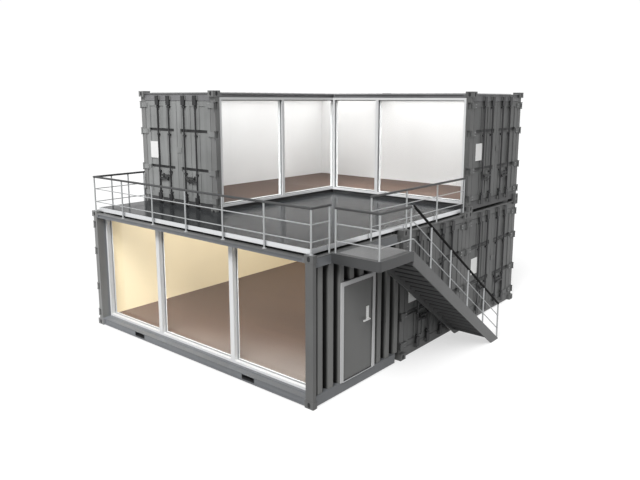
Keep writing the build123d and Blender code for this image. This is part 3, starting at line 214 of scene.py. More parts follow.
def carried(path: np.ndarray, profile: np.ndarray, side: np.ndarray, closed: bool = False,
            domed: bool = False) -> Shell:
    """Carry a profile along a path with mitred corners.

    The profile's x lies along side and its y along the first run crossed with side. Each
    ring is the last one slid along its run to the plane that halves the next corner:
    t = (corner - point) . n / (run . n).

    Args:
        path: The path's corners, as a (k, 3) array.
        profile: The outline, as an (n, 2) array.
        side: The direction of the profile's x, made square to the first run.
        closed: True where the path's last corner runs back to its first.
        domed: True for round ends, of half the profile's width.

    Returns:
        The closed shell.
    """
    path = np.asarray(path, float)
    runs = np.roll(path, -1, 0) - path if closed else np.diff(path, axis=0)
    runs = runs / np.linalg.norm(runs, axis=1, keepdims=True)
    x = unit(np.asarray(side, float) - np.dot(side, runs[0]) * runs[0])
    y = np.cross(runs[0], x)
    ring = path[0] + profile[:, :1] * x + profile[:, 1:] * y
    if closed:
        planes = runs + np.roll(runs, 1, 0)
    else:
        planes = np.concatenate([runs[:1], runs[1:] + runs[:-1], runs[-1:]])
    start = ((path[0] - ring) @ planes[0]) / (runs[0] @ planes[0])
    rings = [ring + start[:, None] * runs[0]]
    for step in range(1, len(path)):
        run, plane = runs[step - 1], planes[step]
        slide = ((path[step] - rings[-1]) @ plane) / (run @ plane)
        rings.append(rings[-1] + slide[:, None] * run)
    rings = np.stack(rings)
    if domed:
        radius = np.abs(profile[:, 0]).max()
        out = np.array(DOME_SINES)[:, None, None]
        inner = np.sqrt(1 - out ** 2)
        first = path[0] + (rings[0] - path[0]) * inner - radius * out * runs[0]
        last = path[-1] + (rings[-1] - path[-1]) * inner + radius * out * runs[-1]
        rings = np.concatenate([first[::-1], rings, last])
    return lofted(rings, closed)


def slab(low: np.ndarray, high: np.ndarray, chamfer: float = 0.001) -> Shell:
    """A block between two corners with all its edges cut by chamfer.

    Four rings of eight points: the end rings lie chamfer inside the two between them.

    Args:
        low: The lowest corner.
        high: The highest corner.
        chamfer: The width of the cut at each edge.

    Returns:
        The closed shell.
    """
    low, high = np.minimum(low, high), np.maximum(low, high)
    size = high - low
    cut = min(chamfer, 0.4 * float(size.min()))
    full = soft_rectangle(size[0], size[1], cut)
    small = soft_rectangle(size[0] - 2 * cut, size[1] - 2 * cut, cut / 2)
    heights = (low[2], low[2] + cut, high[2] - cut, high[2])
    centre = (low + high)[:2] / 2
    return raised([outline + centre for outline in (small, full, full, small)], heights)


RIB_WAVE = ((0.0, 0.0), (0.2, 0.0), (0.38, 1.0), (0.62, 1.0), (0.8, 0.0))


def stamped(low: np.ndarray, high: np.ndarray, axis: int, pitch: float, rise: float,
            edge: float) -> Shell:
    """A sheet with stamped ribs across it.

    The top is z = z0 + h * r(s) * w(t): r is a trapezoid wave of the distance s along the
    sheet, and w falls from 1 to 0 at the sheet's long edges.

    Args:
        low: The sheet's lowest corner.
        high: The sheet's highest corner, its top at the ribs' feet.
        axis: The axis, 0 or 1, along which the ribs follow each other.
        pitch: The distance between ribs.
        rise: The height h of a rib.
        edge: The flat width at each long edge.

    Returns:
        The closed sheet.
    """
    low, high = np.asarray(low), np.asarray(high)
    other = 1 - axis
    span = high - low
    waves = max(1, round(span[axis] / pitch))
    phase, level = np.array(RIB_WAVE).T
    s = np.concatenate([(np.arange(waves)[:, None] + phase).ravel(), [waves]]) / waves
    wave = np.concatenate([np.tile(level, waves), [0.0]])
    margin = edge / span[other]
    t = np.array((0.0, margin / 2, margin, 1 - margin, 1 - margin / 2, 1.0))
    window = np.array((0.0, 0.0, 1.0, 1.0, 0.0, 0.0))
    grid = np.empty((len(s), len(t), 3))
    grid[..., axis] = low[axis] + span[axis] * s[:, None]
    grid[..., other] = low[other] + span[other] * t[None]
    grid[..., 2] = high[2] + rise * wave[:, None] * window[None]
    under = grid.copy()
    under[..., 2] = low[2]
    return lofted(np.concatenate([grid, under[:, ::-1]], 1))


def turned(radii: np.ndarray, heights: np.ndarray, sides: int, turn: float = 0.0) -> Shell:
    """A turned part about z: a circle of each radius at each height, joined in order."""
    return raised([circle(1.0, sides, turn) * radius for radius in radii], heights)


def bolt(radius: float, height: float) -> Shell:
    """A hexagonal bolt head on a washer, standing on z = 0."""
    washer = turned(radius * np.array((1.45, 1.45, 1.38)), height * np.array((0, 0.18, 0.25)), 12)
    head = turned(radius * np.array((1.0, 1.0, 0.8)), height * np.array((0.2, 0.85, 1.0)), 6)
    return joined([washer, head])


def rivet(radius: float, height: float) -> Shell:
    """A domed rivet head: radius * cos t at height * sin t, for t from 0 to near a quarter."""
    t = np.array((0.0, 0.5, 1.0, 1.35))
    return turned(radius * np.cos(t), height * np.sin(t), 8)


# ---------------------------------------------------------------- pieces
def settled(thing: object, **settings: object) -> object:
    """Set properties of a thing.

    Args:
        thing: Any of the program's own things.
        settings: The properties, set in this order.

    Returns:
        The same thing.
    """
    for name, value in settings.items():
        setattr(thing, name, value)
    return thing


def placed(name: str, data: bpy.types.ID) -> bpy.types.Object:
    """Put a new object into the scene.

    Args:
        name: The object's name.
        data: Its mesh, camera or lamp.

    Returns:
        The object, at the origin.
    """
    thing = bpy.data.objects.new(name, data)
    bpy.context.scene.collection.objects.link(thing)
    return thing


def make_piece(name: str, shells: list[Shell], finish: "Finish",
               body: Body = Body.CABIN) -> bpy.types.Object:
    """Make one visible piece from shells, finish it and let it ride on a body.

    Args:
        name: The piece's name.
        shells: What it is made of.
        finish: What its surface is.
        body: The body that it moves with.

    Returns:
        The new object, at the origin.
    """
    shell = joined(shells)
    mesh = bpy.data.meshes.new(name)
    mesh.from_pydata(shell.points, [], [f for block in shell.faces for f in block.tolist()])
    mesh.validate()
    mesh.update()
    mesh.materials.append(finish.material())
    piece = placed(name, mesh)
    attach(piece, body.value)
    log.info("%s: %d faces on %s", name, len(mesh.polygons), body.value)
    return piece


def dress(finish: "Finish", names: str) -> None:
    """Give CAD nodes a finish.

    Args:
        finish: What their surface is.
        names: The nodes' names, in one string.
    """
    material = finish.material()
    for name in names.split():
        node = frame["nodes"][name]
        for place in node.material_slots:
            place.material = material
        if not node.material_slots:
            node.data.materials.append(material)
        log.info("%s: %s", name, material.name)


# ---------------------------------------------------------------- node boards
MIX_COLOURS = (6, 7)
MIX_RESULT = 2


@dataclass(frozen=True)
class Value:
    """An output on a board that is added, subtracted and multiplied like a number."""

    board: "Board"
    socket: Socket

    def __add__(self, other: object) -> "Value":
        """The sum of both."""
        return self.board.math("ADD", self, other)

    def __sub__(self, other: object) -> "Value":
        """This less the other."""
        return self.board.math("SUBTRACT", self, other)

    def __rsub__(self, other: object) -> "Value":
        """The other, a plain number, less this."""
        return self.board.math("SUBTRACT", other, self)

    def __mul__(self, other: object) -> "Value":
        """The product of both."""
        return self.board.math("MULTIPLY", self, other)

    def __truediv__(self, other: object) -> "Value":
        """This divided by the other."""
        return self.board.math("DIVIDE", self, other)


class Board:
    """A short way to write a node tree: each method adds nodes and returns their output."""

    def __init__(self, tree: bpy.types.NodeTree) -> None:
        """Keep the tree that is written."""
        self.tree = tree

    def node(self, kind: str, **settings: object) -> bpy.types.Node:
        """Add a node of a kind, with its properties set."""
        return settled(self.tree.nodes.new(kind), **settings)

    def feed(self, socket: Socket, value: object) -> None:
        """Link an output to a socket, or set the socket to a plain value.

        Args:
            socket: The input.
            value: A Value, another node's output, or what the input is set to.
        """
        value = value.socket if isinstance(value, Value) else value
        if isinstance(value, Socket):
            self.tree.links.new(value, socket)
        else:
            socket.default_value = value

    def fill(self, node: bpy.types.Node, **values: object) -> None:
        """Feed a node's inputs by their names, a space written as an underscore."""
        for name, value in values.items():
            self.feed(node.inputs[name.replace("_", " ")], value)

    def result(self, kind: str, values: tuple, **settings: object) -> Value:
        """Add a node, feed its first inputs in order and return its first output.

        Args:
            kind: The node's type name.
            values: What its first inputs get.
            settings: Its properties.

        Returns:
            The first output.
        """
        node = self.node(kind, **settings)
        for socket, value in zip(node.inputs, values):
            self.feed(socket, value)
        return Value(self, node.outputs[0])

    def math(self, operation: str, *values: object, clamp: bool = False) -> Value:
        """Work out one operation on numbers."""
        return self.result("ShaderNodeMath", values, operation=operation, use_clamp=clamp)

    def scaled(self, vector: object, scale: object) -> Value:
        """Stretch a vector by a scale along each axis."""
        return self.result("ShaderNodeVectorMath", (vector, scale), operation="MULTIPLY")

    def parts(self, vector: object) -> list[Value]:
        """Split a vector into its three numbers."""
        node = self.result("ShaderNodeSeparateXYZ", (vector,)).socket.node
        return [Value(self, socket) for socket in node.outputs]

    def noise(self, vector: object, scale: float, detail: float = 3.0,
              rough: float = 0.5) -> Value:
        """Smooth noise from 0 to 1.

        Args:
            vector: The place.
            scale: Its turns in a metre.
            detail: How many finer noises are added to it.
            rough: How strong the finer ones are.

        Returns:
            The noise.
        """
        node = self.node("ShaderNodeTexNoise")
        self.fill(node, Vector=vector, Scale=scale, Detail=detail, Roughness=rough)
        return Value(self, node.outputs["Fac"])

    def chance(self, dimensions: str, **seed: object) -> Value:
        """A random number from 0 to 1 that belongs to a seed.

        Args:
            dimensions: 1D for a seed W, 2D for a seed Vector.
            seed: The seed, under the name of its input.

        Returns:
            The number.
        """
        node = self.node("ShaderNodeTexWhiteNoise", noise_dimensions=dimensions)
        self.fill(node, **seed)
        return Value(self, node.outputs["Value"])

    def span(self, value: object, low: object, high: object, start: object = 0.0,
             stop: object = 1.0) -> Value:
        """Carry a value from low..high to start..stop, smoothly and without going past."""
        return self.result("ShaderNodeMapRange", (value, low, high, start, stop),
                           interpolation_type="SMOOTHSTEP")

    def blend(self, factor: object, first: object, second: object) -> Value:
        """Mix two colours.

        Args:
            factor: The share of the second.
            first: A colour.
            second: Another colour.

        Returns:
            The mixed colour.
        """
        node = self.node("ShaderNodeMix", data_type="RGBA")
        self.feed(node.inputs["Factor"], factor)
        for place, colour in zip(MIX_COLOURS, (first, second)):
            self.feed(node.inputs[place], colour)
        return Value(self, node.outputs[MIX_RESULT])

    def shaded(self, colour: object, tone: object) -> Value:
        """A colour times a number."""
        made = self.result("ShaderNodeVectorMath", (colour,), operation="SCALE")
        self.fill(made.socket.node, Scale=tone)
        return made

    def edge(self, share: Value) -> Value:
        """How near a part of 0 to 1 is to either end: twice its distance from a half."""
        return self.math("ABSOLUTE", share - 0.5) * 2

    def relief(self, height: object, strength: float, depth: float) -> Value:
        """A normal bent by a height."""
        node = self.node("ShaderNodeBump")
        self.fill(node, Strength=strength, Distance=depth, Height=height)
        return Value(self, node.outputs[0])


@dataclass(frozen=True)
class Effect:
    """A shader node group that several finishes share, with named inputs and outputs."""

    name: str
    inputs: dict[str, str]
    outputs: dict[str, str]

    def tree(self) -> bpy.types.NodeTree:
        """The group's tree, built the first time it is asked for."""
        found = bpy.data.node_groups.get(self.name)
        if found:
            return found
        tree = bpy.data.node_groups.new(self.name, "ShaderNodeTree")
        for direction, sockets in (("INPUT", self.inputs), ("OUTPUT", self.outputs)):
            for name, kind in sockets.items():
                tree.interface.new_socket(name, in_out=direction, socket_type=kind)
        board = Board(tree)
        source = board.node("NodeGroupInput")
        given = {name: Value(board, source.outputs[name]) for name in self.inputs}
        board.fill(board.node("NodeGroupOutput"), **self.write(board, given))
        return tree

    def write(self, board: Board, given: dict[str, Value]) -> dict[str, Value]:
        """Write the group's nodes.

        Args:
            board: The group's board.
            given: The group's inputs by name.

        Returns:
            Each output's value by name.
        """
        raise NotImplementedError

    def use(self, board: Board, **values: object) -> dict[str, Socket]:
        """Place the group in a material.

        Args:
            board: The material's board.
            values: Inputs by name.

        Returns:
            The outputs by name.
        """
        node = board.node("ShaderNodeGroup", node_tree=self.tree())
        board.fill(node, **values)
        return {socket.name: socket for socket in node.outputs}


FLOAT = "NodeSocketFloat"
COLOUR = "NodeSocketColor"
VECTOR = "NodeSocketVector"


class WeatheredPaint(Effect):
    """Sprayed paint on steel: cloudy tone, runs down the wall, grime low down, worn specks, and
    painted light that lightens it towards x = 0.
    """

    def write(self, board: Board, given: dict[str, Value]) -> dict[str, Value]:
        """Tone is (1 + clouds + runs - grime) * (1 + painted light * b), b falling from 1 to 0
        along x.

        Specks show a second colour where a fine noise peaks inside broad patches.
        """
        place = given["Place"]
        x, _, z = board.parts(place)
        cloud = board.noise(place, 1.3, 4.0, 0.55)
        runs = board.noise(board.scaled(place, (7.0, 7.0, 0.5)), 1.0, 3.0, 0.6)
        fine = board.noise(place, 24.0, 4.0, 0.65)
        low = board.span(board.math("FLOORED_MODULO", z, given["Storey"]), 0.0, 0.55, 1.0, 0.0)
        grime = low * board.span(cloud, 0.35, 0.7) * given["Grime"]
        tone = board.span(cloud, 0.25, 0.75, -1.0, 1.0) * given["Cloud"]
        streak = board.span(runs, 0.3, 0.7, -1.0, 1.0) * given["Runs"]
        # Painted light: the tone is raised towards x = 0 and fades out at Reach.
        bleach = board.span(x, 0.0, given["Reach"], 1.0, 0.0) * given["Bleach"]
        total = (tone + streak + 1.0 - grime) * (bleach + 1.0)
        patch = board.span(board.noise(place, 3.1, 2.0), 0.52, 0.66)
        speck = board.span(fine, 0.8 - given["Wear"], 0.8) * patch
        peel, dents = board.noise(place, 210.0, 2.0), board.noise(place, 2.4, 2.0)
        return {"Colour": board.blend(speck, board.shaded(given["Colour"], total),
                                      given["Under"]),
                "Roughness": given["Gloss"] + fine * 0.12 + grime * 0.3,
                "Height": peel * 0.15 + dents - speck * 0.25}


class BoardFloor(Effect):
    """Floor boards side by side: their own tones, grain, dark joints, and a painted sheen of
    window light near the front.
    """

    def write(self, board: Board, given: dict[str, Value]) -> dict[str, Value]:
        """Board number is the floor of y / width; joints lie where its part nears 0 or 1.

        The painted sheen is strongest where y - 0.35 * x is least, near the front corner by the
        entrance, where the boards turn greyer and lighter.
        """
        x, y, _ = board.parts(given["Place"])
        across = y / given["Width"]
        number = board.math("FLOOR", across)
        along = (x + board.chance("1D", W=number) * 2.4) / given["Length"]
        pair = board.result("ShaderNodeCombineXYZ", (number, board.math("FLOOR", along)))
        single = board.chance("2D", Vector=pair)
        grain = board.noise(board.scaled(given["Place"], (2.2, 42.0, 42.0)), 1.0, 5.0, 0.6)
        joint = board.math(
            "MAXIMUM", board.span(board.edge(board.math("FRACT", across)), 0.965, 1.0),
            board.span(board.edge(board.math("FRACT", along)), 0.998, 1.0))
        tone = ((single - 0.5) * 0.16 + board.span(grain, 0.2, 0.8, -0.1, 0.1) + 1.0
                - joint * given["Joint"])
        # Painted light: a pale sheen blended in towards the front right, where window light falls
        # on the boards.
        dust = board.span(y - x * 0.35, -1.9, 0.6, 1.0, 0.0) * given["Dust"]
        return {"Colour": board.blend(dust, board.shaded(given["Colour"], tone), SHEEN_GREY),
                "Roughness": given["Gloss"] + grain * 0.14, "Height": grain * 0.2 - joint}


class PanelBoard(Effect):
    """Painted lining boards: faint joints at an even pitch, roller texture, soft clouds."""

    def write(self, board: Board, given: dict[str, Value]) -> dict[str, Value]:
        """A joint lies where (x + y) / pitch nears a whole number."""
        x, y, _ = board.parts(given["Place"])
        joint = board.span(board.edge(board.math("FRACT", (x + y) / given["Pitch"])), 0.992, 1.0)
        cloud = board.noise(given["Place"], 0.8, 2.0)
        roller = board.noise(given["Place"], 130.0, 3.0, 0.7)
        tone = board.span(cloud, 0.3, 0.7, -0.025, 0.025) + 1.0 - joint * 0.07
        return {"Colour": board.shaded(given["Colour"], tone),
                "Roughness": roller * 0.15 + given["Gloss"], "Height": roller * 0.2 - joint}


class FineGrain(Effect):
    """A fine surface: long scratches on metal, pores on rubber, smears on glossy sheets."""

    def write(self, board: Board, given: dict[str, Value]) -> dict[str, Value]:
        """Scratches are noise stretched by Stretch; smears are one much coarser noise."""
        scratch = board.noise(board.scaled(given["Place"], given["Stretch"]), 1.0, 4.0, 0.6)
        smear = board.noise(given["Place"], 1.7, 3.0, 0.6)
        tone = ((smear - 0.5) * given["Cloud"] + 1.0
                + (scratch - 0.5) * (given["Cloud"] * 0.7))
        rough = given["Gloss"] + smear * given["Smear"] + scratch * given["Smear"]
        return {"Colour": board.shaded(given["Colour"], tone), "Roughness": rough,
                "Height": scratch}


class TroughShade(Effect):
    """Painted shade: darkens a surface in the troughs of a wall across x, and scales its tone
    towards its top as painted shadow or painted light.
    """

    def write(self, board: Board, given: dict[str, Value]) -> dict[str, Value]:
        """Painted shade is t * u: t rises from Dark to 1 between Floor and Ridge, u goes from 1 to
        Top between Low and High.
        """
        x, _, z = board.parts(given["Place"])
        depth = board.span(x, given["Floor"], given["Ridge"], given["Dark"], 1.0)
        under = board.span(z, given["Low"], given["High"], 1.0, given["Top"])
        return {"Colour": board.shaded(given["Colour"], depth * under)}


# The pale grey of the painted sheen on the floor boards.
SHEEN_GREY = (0.21, 0.195, 0.18, 1.0)
PLACED = {"Place": VECTOR, "Colour": COLOUR}
BACK = {"Colour": COLOUR, "Roughness": FLOAT, "Height": FLOAT}


def numbers(names: str) -> dict[str, str]:
    """Float sockets, from their names in one string."""
    return dict.fromkeys(names.split(), FLOAT)


TROUGH_EFFECT = TroughShade(
    "painted_trough_shade", PLACED | numbers("Floor Ridge Dark Low High Top"), {"Colour": COLOUR})
PAINT_EFFECT = WeatheredPaint(
    "weathered_paint", PLACED | {"Under": COLOUR}
    | numbers("Cloud Runs Grime Wear Gloss Storey Bleach Reach"), BACK)
FLOOR_EFFECT = BoardFloor(
    "board_floor", PLACED | numbers("Width Length Joint Gloss Dust"), BACK)
PANEL_EFFECT = PanelBoard("panel_board", PLACED | numbers("Pitch Gloss"), BACK)
GRAIN_EFFECT = FineGrain(
    "fine_grain", PLACED | {"Stretch": VECTOR} | numbers("Cloud Smear Gloss"), BACK)


# ---------------------------------------------------------------- finishes
@dataclass(frozen=True)
class Troughs:
    """Where a wall's troughs lie along x, how dark their painted shade is, and the painted shade
    or light towards its top.
    """

    floor: float
    ridge: float
    dark: float
    low: float = 1.9
    high: float = 2.25
    top: float = 1.0


@dataclass(frozen=True)
class Finish:
    """A surface: its name, its colour in linear light and its bump."""

    effect: ClassVar[Effect]
    name: str
    colour: Triple
    bump: float = 0.2
    bump_depth: float = 0.002
    metallic: float = 0.0
    specular: float = 0.5
    # Painted shade in troughs and towards the top, where given.
    troughs: Troughs | None = None

    def material(self) -> bpy.types.Material:
        """The finish's material, built the first time it is asked for."""
        found = bpy.data.materials.get(self.name)
        if found:
            return found
        material = bpy.data.materials.new(self.name)
        material.use_nodes = True
        material.diffuse_color = (*self.colour, 1.0)
        board = Board(material.node_tree)
        shader = material.node_tree.nodes["Principled BSDF"]
        board.fill(shader, Metallic=self.metallic, Specular_IOR_Level=self.specular)
        self.surface(board, shader, board.node("ShaderNodeTexCoord").outputs["Object"])
        return material

    def surface(self, board: Board, shader: bpy.types.Node, place: Socket) -> None:
        """Place the finish's effect and link it to the shader.

        Args:
            board: The material's board.
            shader: The Principled node.
            place: Where a point lies on the object; each other input is the field of its name.
        """
        values = {name: getattr(self, name.lower()) for name in self.effect.inputs
                  if name != "Place"}
        values = {name: (*value, 1) if self.effect.inputs[name] == COLOUR else value
                  for name, value in values.items()}
        made = self.effect.use(board, Place=place, **values)
        colour = made["Colour"]
        # Painted shade in the troughs and towards the top, from the trough settings.
        if self.troughs:
            deep = {name.title(): value for name, value in asdict(self.troughs).items()}
            colour = TROUGH_EFFECT.use(board, Place=place, Colour=colour, **deep)["Colour"]
        board.fill(shader, Base_Color=colour, Roughness=made["Roughness"],
                   Normal=board.relief(made["Height"], self.bump, self.bump_depth))


@dataclass(frozen=True)
class Paint(Finish):
    """Weathered or fresh paint on steel."""

    effect: ClassVar[Effect] = PAINT_EFFECT
    under: Triple = (0.05, 0.045, 0.04)
    cloud: float = 0.08
    runs: float = 0.06
    grime: float = 0.12
    wear: float = 0.06
    gloss: float = 0.38
    storey: float = 2.438
    # Painted light: how much lighter the paint is at x = 0, fading out at reach.
    bleach: float = 0.0
    reach: float = 6.058


@dataclass(frozen=True)
class Boards(Finish):
    """Floor boards."""

    effect: ClassVar[Effect] = FLOOR_EFFECT
    width: float = 0.19
    length: float = 2.1
    joint: float = 0.3
    gloss: float = 0.5
    # Painted light: the share of the pale sheen near the front right.
    dust: float = 0.0


@dataclass(frozen=True)
class Lining(Finish):
    """Painted lining boards."""

    effect: ClassVar[Effect] = PANEL_EFFECT
    pitch: float = 1.22
    gloss: float = 0.5


@dataclass(frozen=True)
class Fine(Finish):
    """Metal, rubber, enamel or glossy sheet with a fine grain."""

    effect: ClassVar[Effect] = GRAIN_EFFECT
    stretch: Triple = (60.0, 60.0, 60.0)
    cloud: float = 0.1
    smear: float = 0.1
    gloss: float = 0.3


@dataclass(frozen=True)
class Glass(Finish):
    """Clear glass that lets lamplight through, with a faint wave in it."""

    bending: float = 1.2
    wave_scale: float = 0.7

    def surface(self, board: Board, shader: bpy.types.Node, place: Socket) -> None:
        """Mix in a Transparent shader for rays from lamps, so that rooms are lit through it."""
        colour = (*self.colour, 1)
        wave = board.noise(place, self.wave_scale, 1.0)
        board.fill(shader, Base_Color=colour, Roughness=0.0, IOR=self.bending,
                   Transmission_Weight=1.0,
                   Normal=board.relief(wave, self.bump, self.bump_depth))
        clear = board.node("ShaderNodeBsdfTransparent")
        board.fill(clear, Color=colour)
        ray = board.node("ShaderNodeLightPath")
        mix = board.node("ShaderNodeMixShader")
        for socket, value in zip(mix.inputs, (ray.outputs["Is Shadow Ray"], shader.outputs[0],
                                              clear.outputs[0])):
            board.feed(socket, value)
        target = next(n for n in board.tree.nodes if n.type == "OUTPUT_MATERIAL")
        board.feed(target.inputs["Surface"], mix.outputs[0])


# Where these paints lighten towards x = 0, that is painted light.
CONTAINER = Paint("container_steel", (0.095, 0.096, 0.095), bleach=1.15)
# Painted shade: near-black troughs where x is below 6.016, and a painted shadow of the landing
# that halves the tone from 1.9 m to 2.25 m up; the base tone, lighter than the container paint, is
# painted light on this dimmer wall.
ENTRANCE_WALL = Paint("entrance_wall_steel", (0.155, 0.156, 0.152), cloud=0.05, grime=0.05,
                      troughs=Troughs(5.965, 6.016, 0.03, top=0.5))
DOOR_STEEL = Paint("cargo_door_steel", (0.085, 0.087, 0.086), under=(0.04, 0.036, 0.033),
                   cloud=0.14, runs=0.12, wear=0.1, grime=0.16, bleach=2.1)
# Painted shade and light: the dark base is painted shade on the bottom rails by the deck, and the
# tone rises fourfold from 3 m to 4 m towards the headers as painted light.
UPPER_RAIL = Paint("upper_rail_steel", (0.032, 0.032, 0.033), under=(0.02, 0.018, 0.016),
                   bleach=0.5, troughs=Troughs(-2.0, -1.0, 1.0, 3.0, 4.0, 4.0))
FRONT_RAIL = Paint("front_rail_steel", (0.132, 0.138, 0.146), cloud=0.05, runs=0.03, grime=0.05,
                   bleach=0.35)
ROD_STEEL = Paint("rod_steel", (0.012, 0.012, 0.013), cloud=0.12, gloss=0.45, bump=0.15)
STAIR_STEEL = Paint("stair_steel", (0.115, 0.116, 0.116), cloud=0.04, runs=0.03, grime=0.05,
                    wear=0.03)
TREAD_STEEL = Paint("tread_steel", (0.12, 0.121, 0.122), cloud=0.08, gloss=0.45)
# Painted shade: the risers are near-black to stand for the shade between the treads.
RISER_STEEL = Paint("riser_steel", (0.022, 0.022, 0.023), cloud=0.08, gloss=0.5)
LANDING_STEEL = Paint("landing_steel", (0.045, 0.046, 0.047), cloud=0.05, runs=0.02, grime=0.0,
                      wear=0.03, storey=9.0)
LANDING_SHEET = Paint("landing_sheet", (0.15, 0.151, 0.152), cloud=0.08, runs=0.0, grime=0.0,
                      wear=0.05, storey=9.0, gloss=0.3)
ENTRANCE_PAINT = Paint("entrance_leaf_paint", (0.125, 0.126, 0.123), cloud=0.03, runs=0.02,
                       grime=0.04, wear=0.0, gloss=0.4)
JOIST_STEEL = Paint("joist_steel", (0.03, 0.03, 0.032), cloud=0.1)
ROOF_STEEL = Paint("roof_steel", (0.2, 0.203, 0.205), cloud=0.12, runs=0.0, grime=0.0,
                   wear=0.08, storey=9.0)
FLOOR_WOOD = Boards("floor_boards_brown", (0.075, 0.043, 0.029), dust=0.55)
CREAM_WALL = Lining("cream_wall", (0.82, 0.7, 0.47))
WHITE_WALL = Lining("white_wall", (0.84, 0.84, 0.835))
WHITE_PROFILE = Fine("white_profile", (0.68, 0.685, 0.69), bump=0.05, cloud=0.05, gloss=0.28)
# Painted shade on the jamb's side: darker where x lies below 6.0415.
ENTRANCE_PROFILE = Fine("entrance_profile", (0.56, 0.562, 0.565), bump=0.05, cloud=0.05,
                        gloss=0.28, troughs=Troughs(6.005, 6.0415, 0.15))
TRIM_METAL = Fine("trim_aluminium", (0.74, 0.75, 0.76), bump=0.08, metallic=0.2, cloud=0.12,
                  stretch=(6.0, 6.0, 260.0), gloss=0.35)
HANDLE_METAL = Fine("handle_metal", (0.86, 0.86, 0.85), bump=0.06, metallic=0.15, cloud=0.08,
                    stretch=(200.0, 200.0, 12.0), gloss=0.25)
RAILING_METAL = Fine("railing_metal", (0.4, 0.41, 0.415), bump=0.06, metallic=0.2, cloud=0.12,
                     gloss=0.35)
HANDRAIL_METAL = Fine("handrail_metal", (0.05, 0.051, 0.052), bump=0.06, metallic=0.2,
                      cloud=0.12, gloss=0.4)
STAIR_HANDRAIL = Fine("stair_handrail_metal", (0.006, 0.006, 0.006), bump=0.06, cloud=0.12,
                      gloss=0.6, specular=0.1)
DECK_SHEET = Fine("deck_sheet", (0.028, 0.03, 0.032), bump=0.02, cloud=0.25, smear=0.08,
                  stretch=(3.0, 40.0, 40.0), gloss=0.08, specular=0.05)
RUBBER = Fine("seal_rubber", (0.012, 0.012, 0.013), bump=0.2, cloud=0.3, gloss=0.6,
              stretch=(300.0, 300.0, 300.0))
GREY_SEAL = Fine("grey_seal", (0.36, 0.36, 0.36), bump=0.2, cloud=0.2, gloss=0.6,
                 stretch=(300.0, 300.0, 300.0))
DARK_SEAL = Fine("dark_seal", (0.09, 0.09, 0.092), bump=0.2, cloud=0.2, gloss=0.6,
                 stretch=(300.0, 300.0, 300.0))
ENAMEL = Fine("plate_enamel", (0.86, 0.86, 0.85), bump=0.03, cloud=0.06, gloss=0.25)
BOLT_METAL = Fine("bolt_metal", (0.3, 0.3, 0.3), bump=0.1, metallic=0.6, cloud=0.2, gloss=0.4)
CLEAR_GLASS = Glass("clear_glass", (0.97, 0.98, 0.98), bump=0.02, bump_depth=0.01)


# ---------------------------------------------------------------- the frame's places
def box(name: str) -> tuple[np.ndarray, np.ndarray]:
    """The lowest and highest corner of a CAD node, as arrays."""
    low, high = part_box(name)
    return np.array(low), np.array(high)


def corners_of(name: str) -> np.ndarray:
    """The vertices of a CAD node."""
    mesh = frame["nodes"][name].data
    points = np.empty(len(mesh.vertices) * 3)
    mesh.vertices.foreach_get("co", points)
    return points.reshape(-1, 3)


def steps_of(points: np.ndarray, axis: int) -> np.ndarray:
    """The different values that points take along an axis, to a tenth of a millimetre."""
    return np.unique(points[:, axis].round(4))


def ends_at(points: np.ndarray, axis: int, value: float) -> tuple[np.ndarray, np.ndarray]:
    """The lowest and highest corner of the points that lie at a value of an axis."""
    found = points[np.abs(points[:, axis] - value) < TOLERANCE]
    return found.min(0), found.max(0)


UNIT_LENGTH = float(box("lower_corner_posts")[1][0])
UNIT_WIDTH = float(box("lower_corner_posts")[1][1]) / 3
UNIT_HEIGHT = float(box("lower_corner_posts")[1][2])


@dataclass(frozen=True)
class Unit:
    """A container's own axes: u along it to its doors, v across it and z up."""

    origin: Triple
    along: Triple
    left_body: Body = Body.CABIN
    right_body: Body = Body.CABIN
    open_sides: tuple[float, ...] = ()
    ends: tuple[float, ...] = (0.0, 1.0)

    def across(self) -> np.ndarray:
        """The direction of v: up crossed with along."""
        return np.cross(UP, self.along)

    def at(self, u: object, v: object, z: object) -> np.ndarray:
        """Points of the frame at (u, v, z) of the unit, as an (n, 3) array."""
        u, v, z = np.broadcast_arrays(*(np.asarray(n, float).ravel() for n in (u, v, z)))
        return (np.array(self.origin) + u[:, None] * np.array(self.along)
                + v[:, None] * self.across() + z[:, None] * UP)

    def block(self, low: Triple, high: Triple,
              chamfer: float = 0.002) -> Shell:
        """A chamfered block between two places of the unit."""
        ends = self.at((low[0], high[0]), (low[1], high[1]), (low[2], high[2]))
        return slab(ends[0], ends[1], chamfer)


UNITS = {
    "front": Unit((UNIT_LENGTH, UNIT_WIDTH, 0.0), (-1, 0, 0), open_sides=(1.0,), ends=(1.0,)),
    "middle": Unit((0.0, UNIT_WIDTH, 0.0), (1, 0, 0)),
    "rear": Unit((0.0, 2 * UNIT_WIDTH, 0.0), (1, 0, 0), Body.REAR_LEFT, Body.REAR_RIGHT,
                 open_sides=(1.0,)),
    "upper_left": Unit((0.0, 3 * UNIT_WIDTH, UNIT_HEIGHT), (0, -1, 0), open_sides=(0.0, 1.0)),
    "upper_right": Unit((0.0, 2 * UNIT_WIDTH, UNIT_HEIGHT), (1, 0, 0), open_sides=(0.0, 1.0),
                        ends=(1.0,)),
}


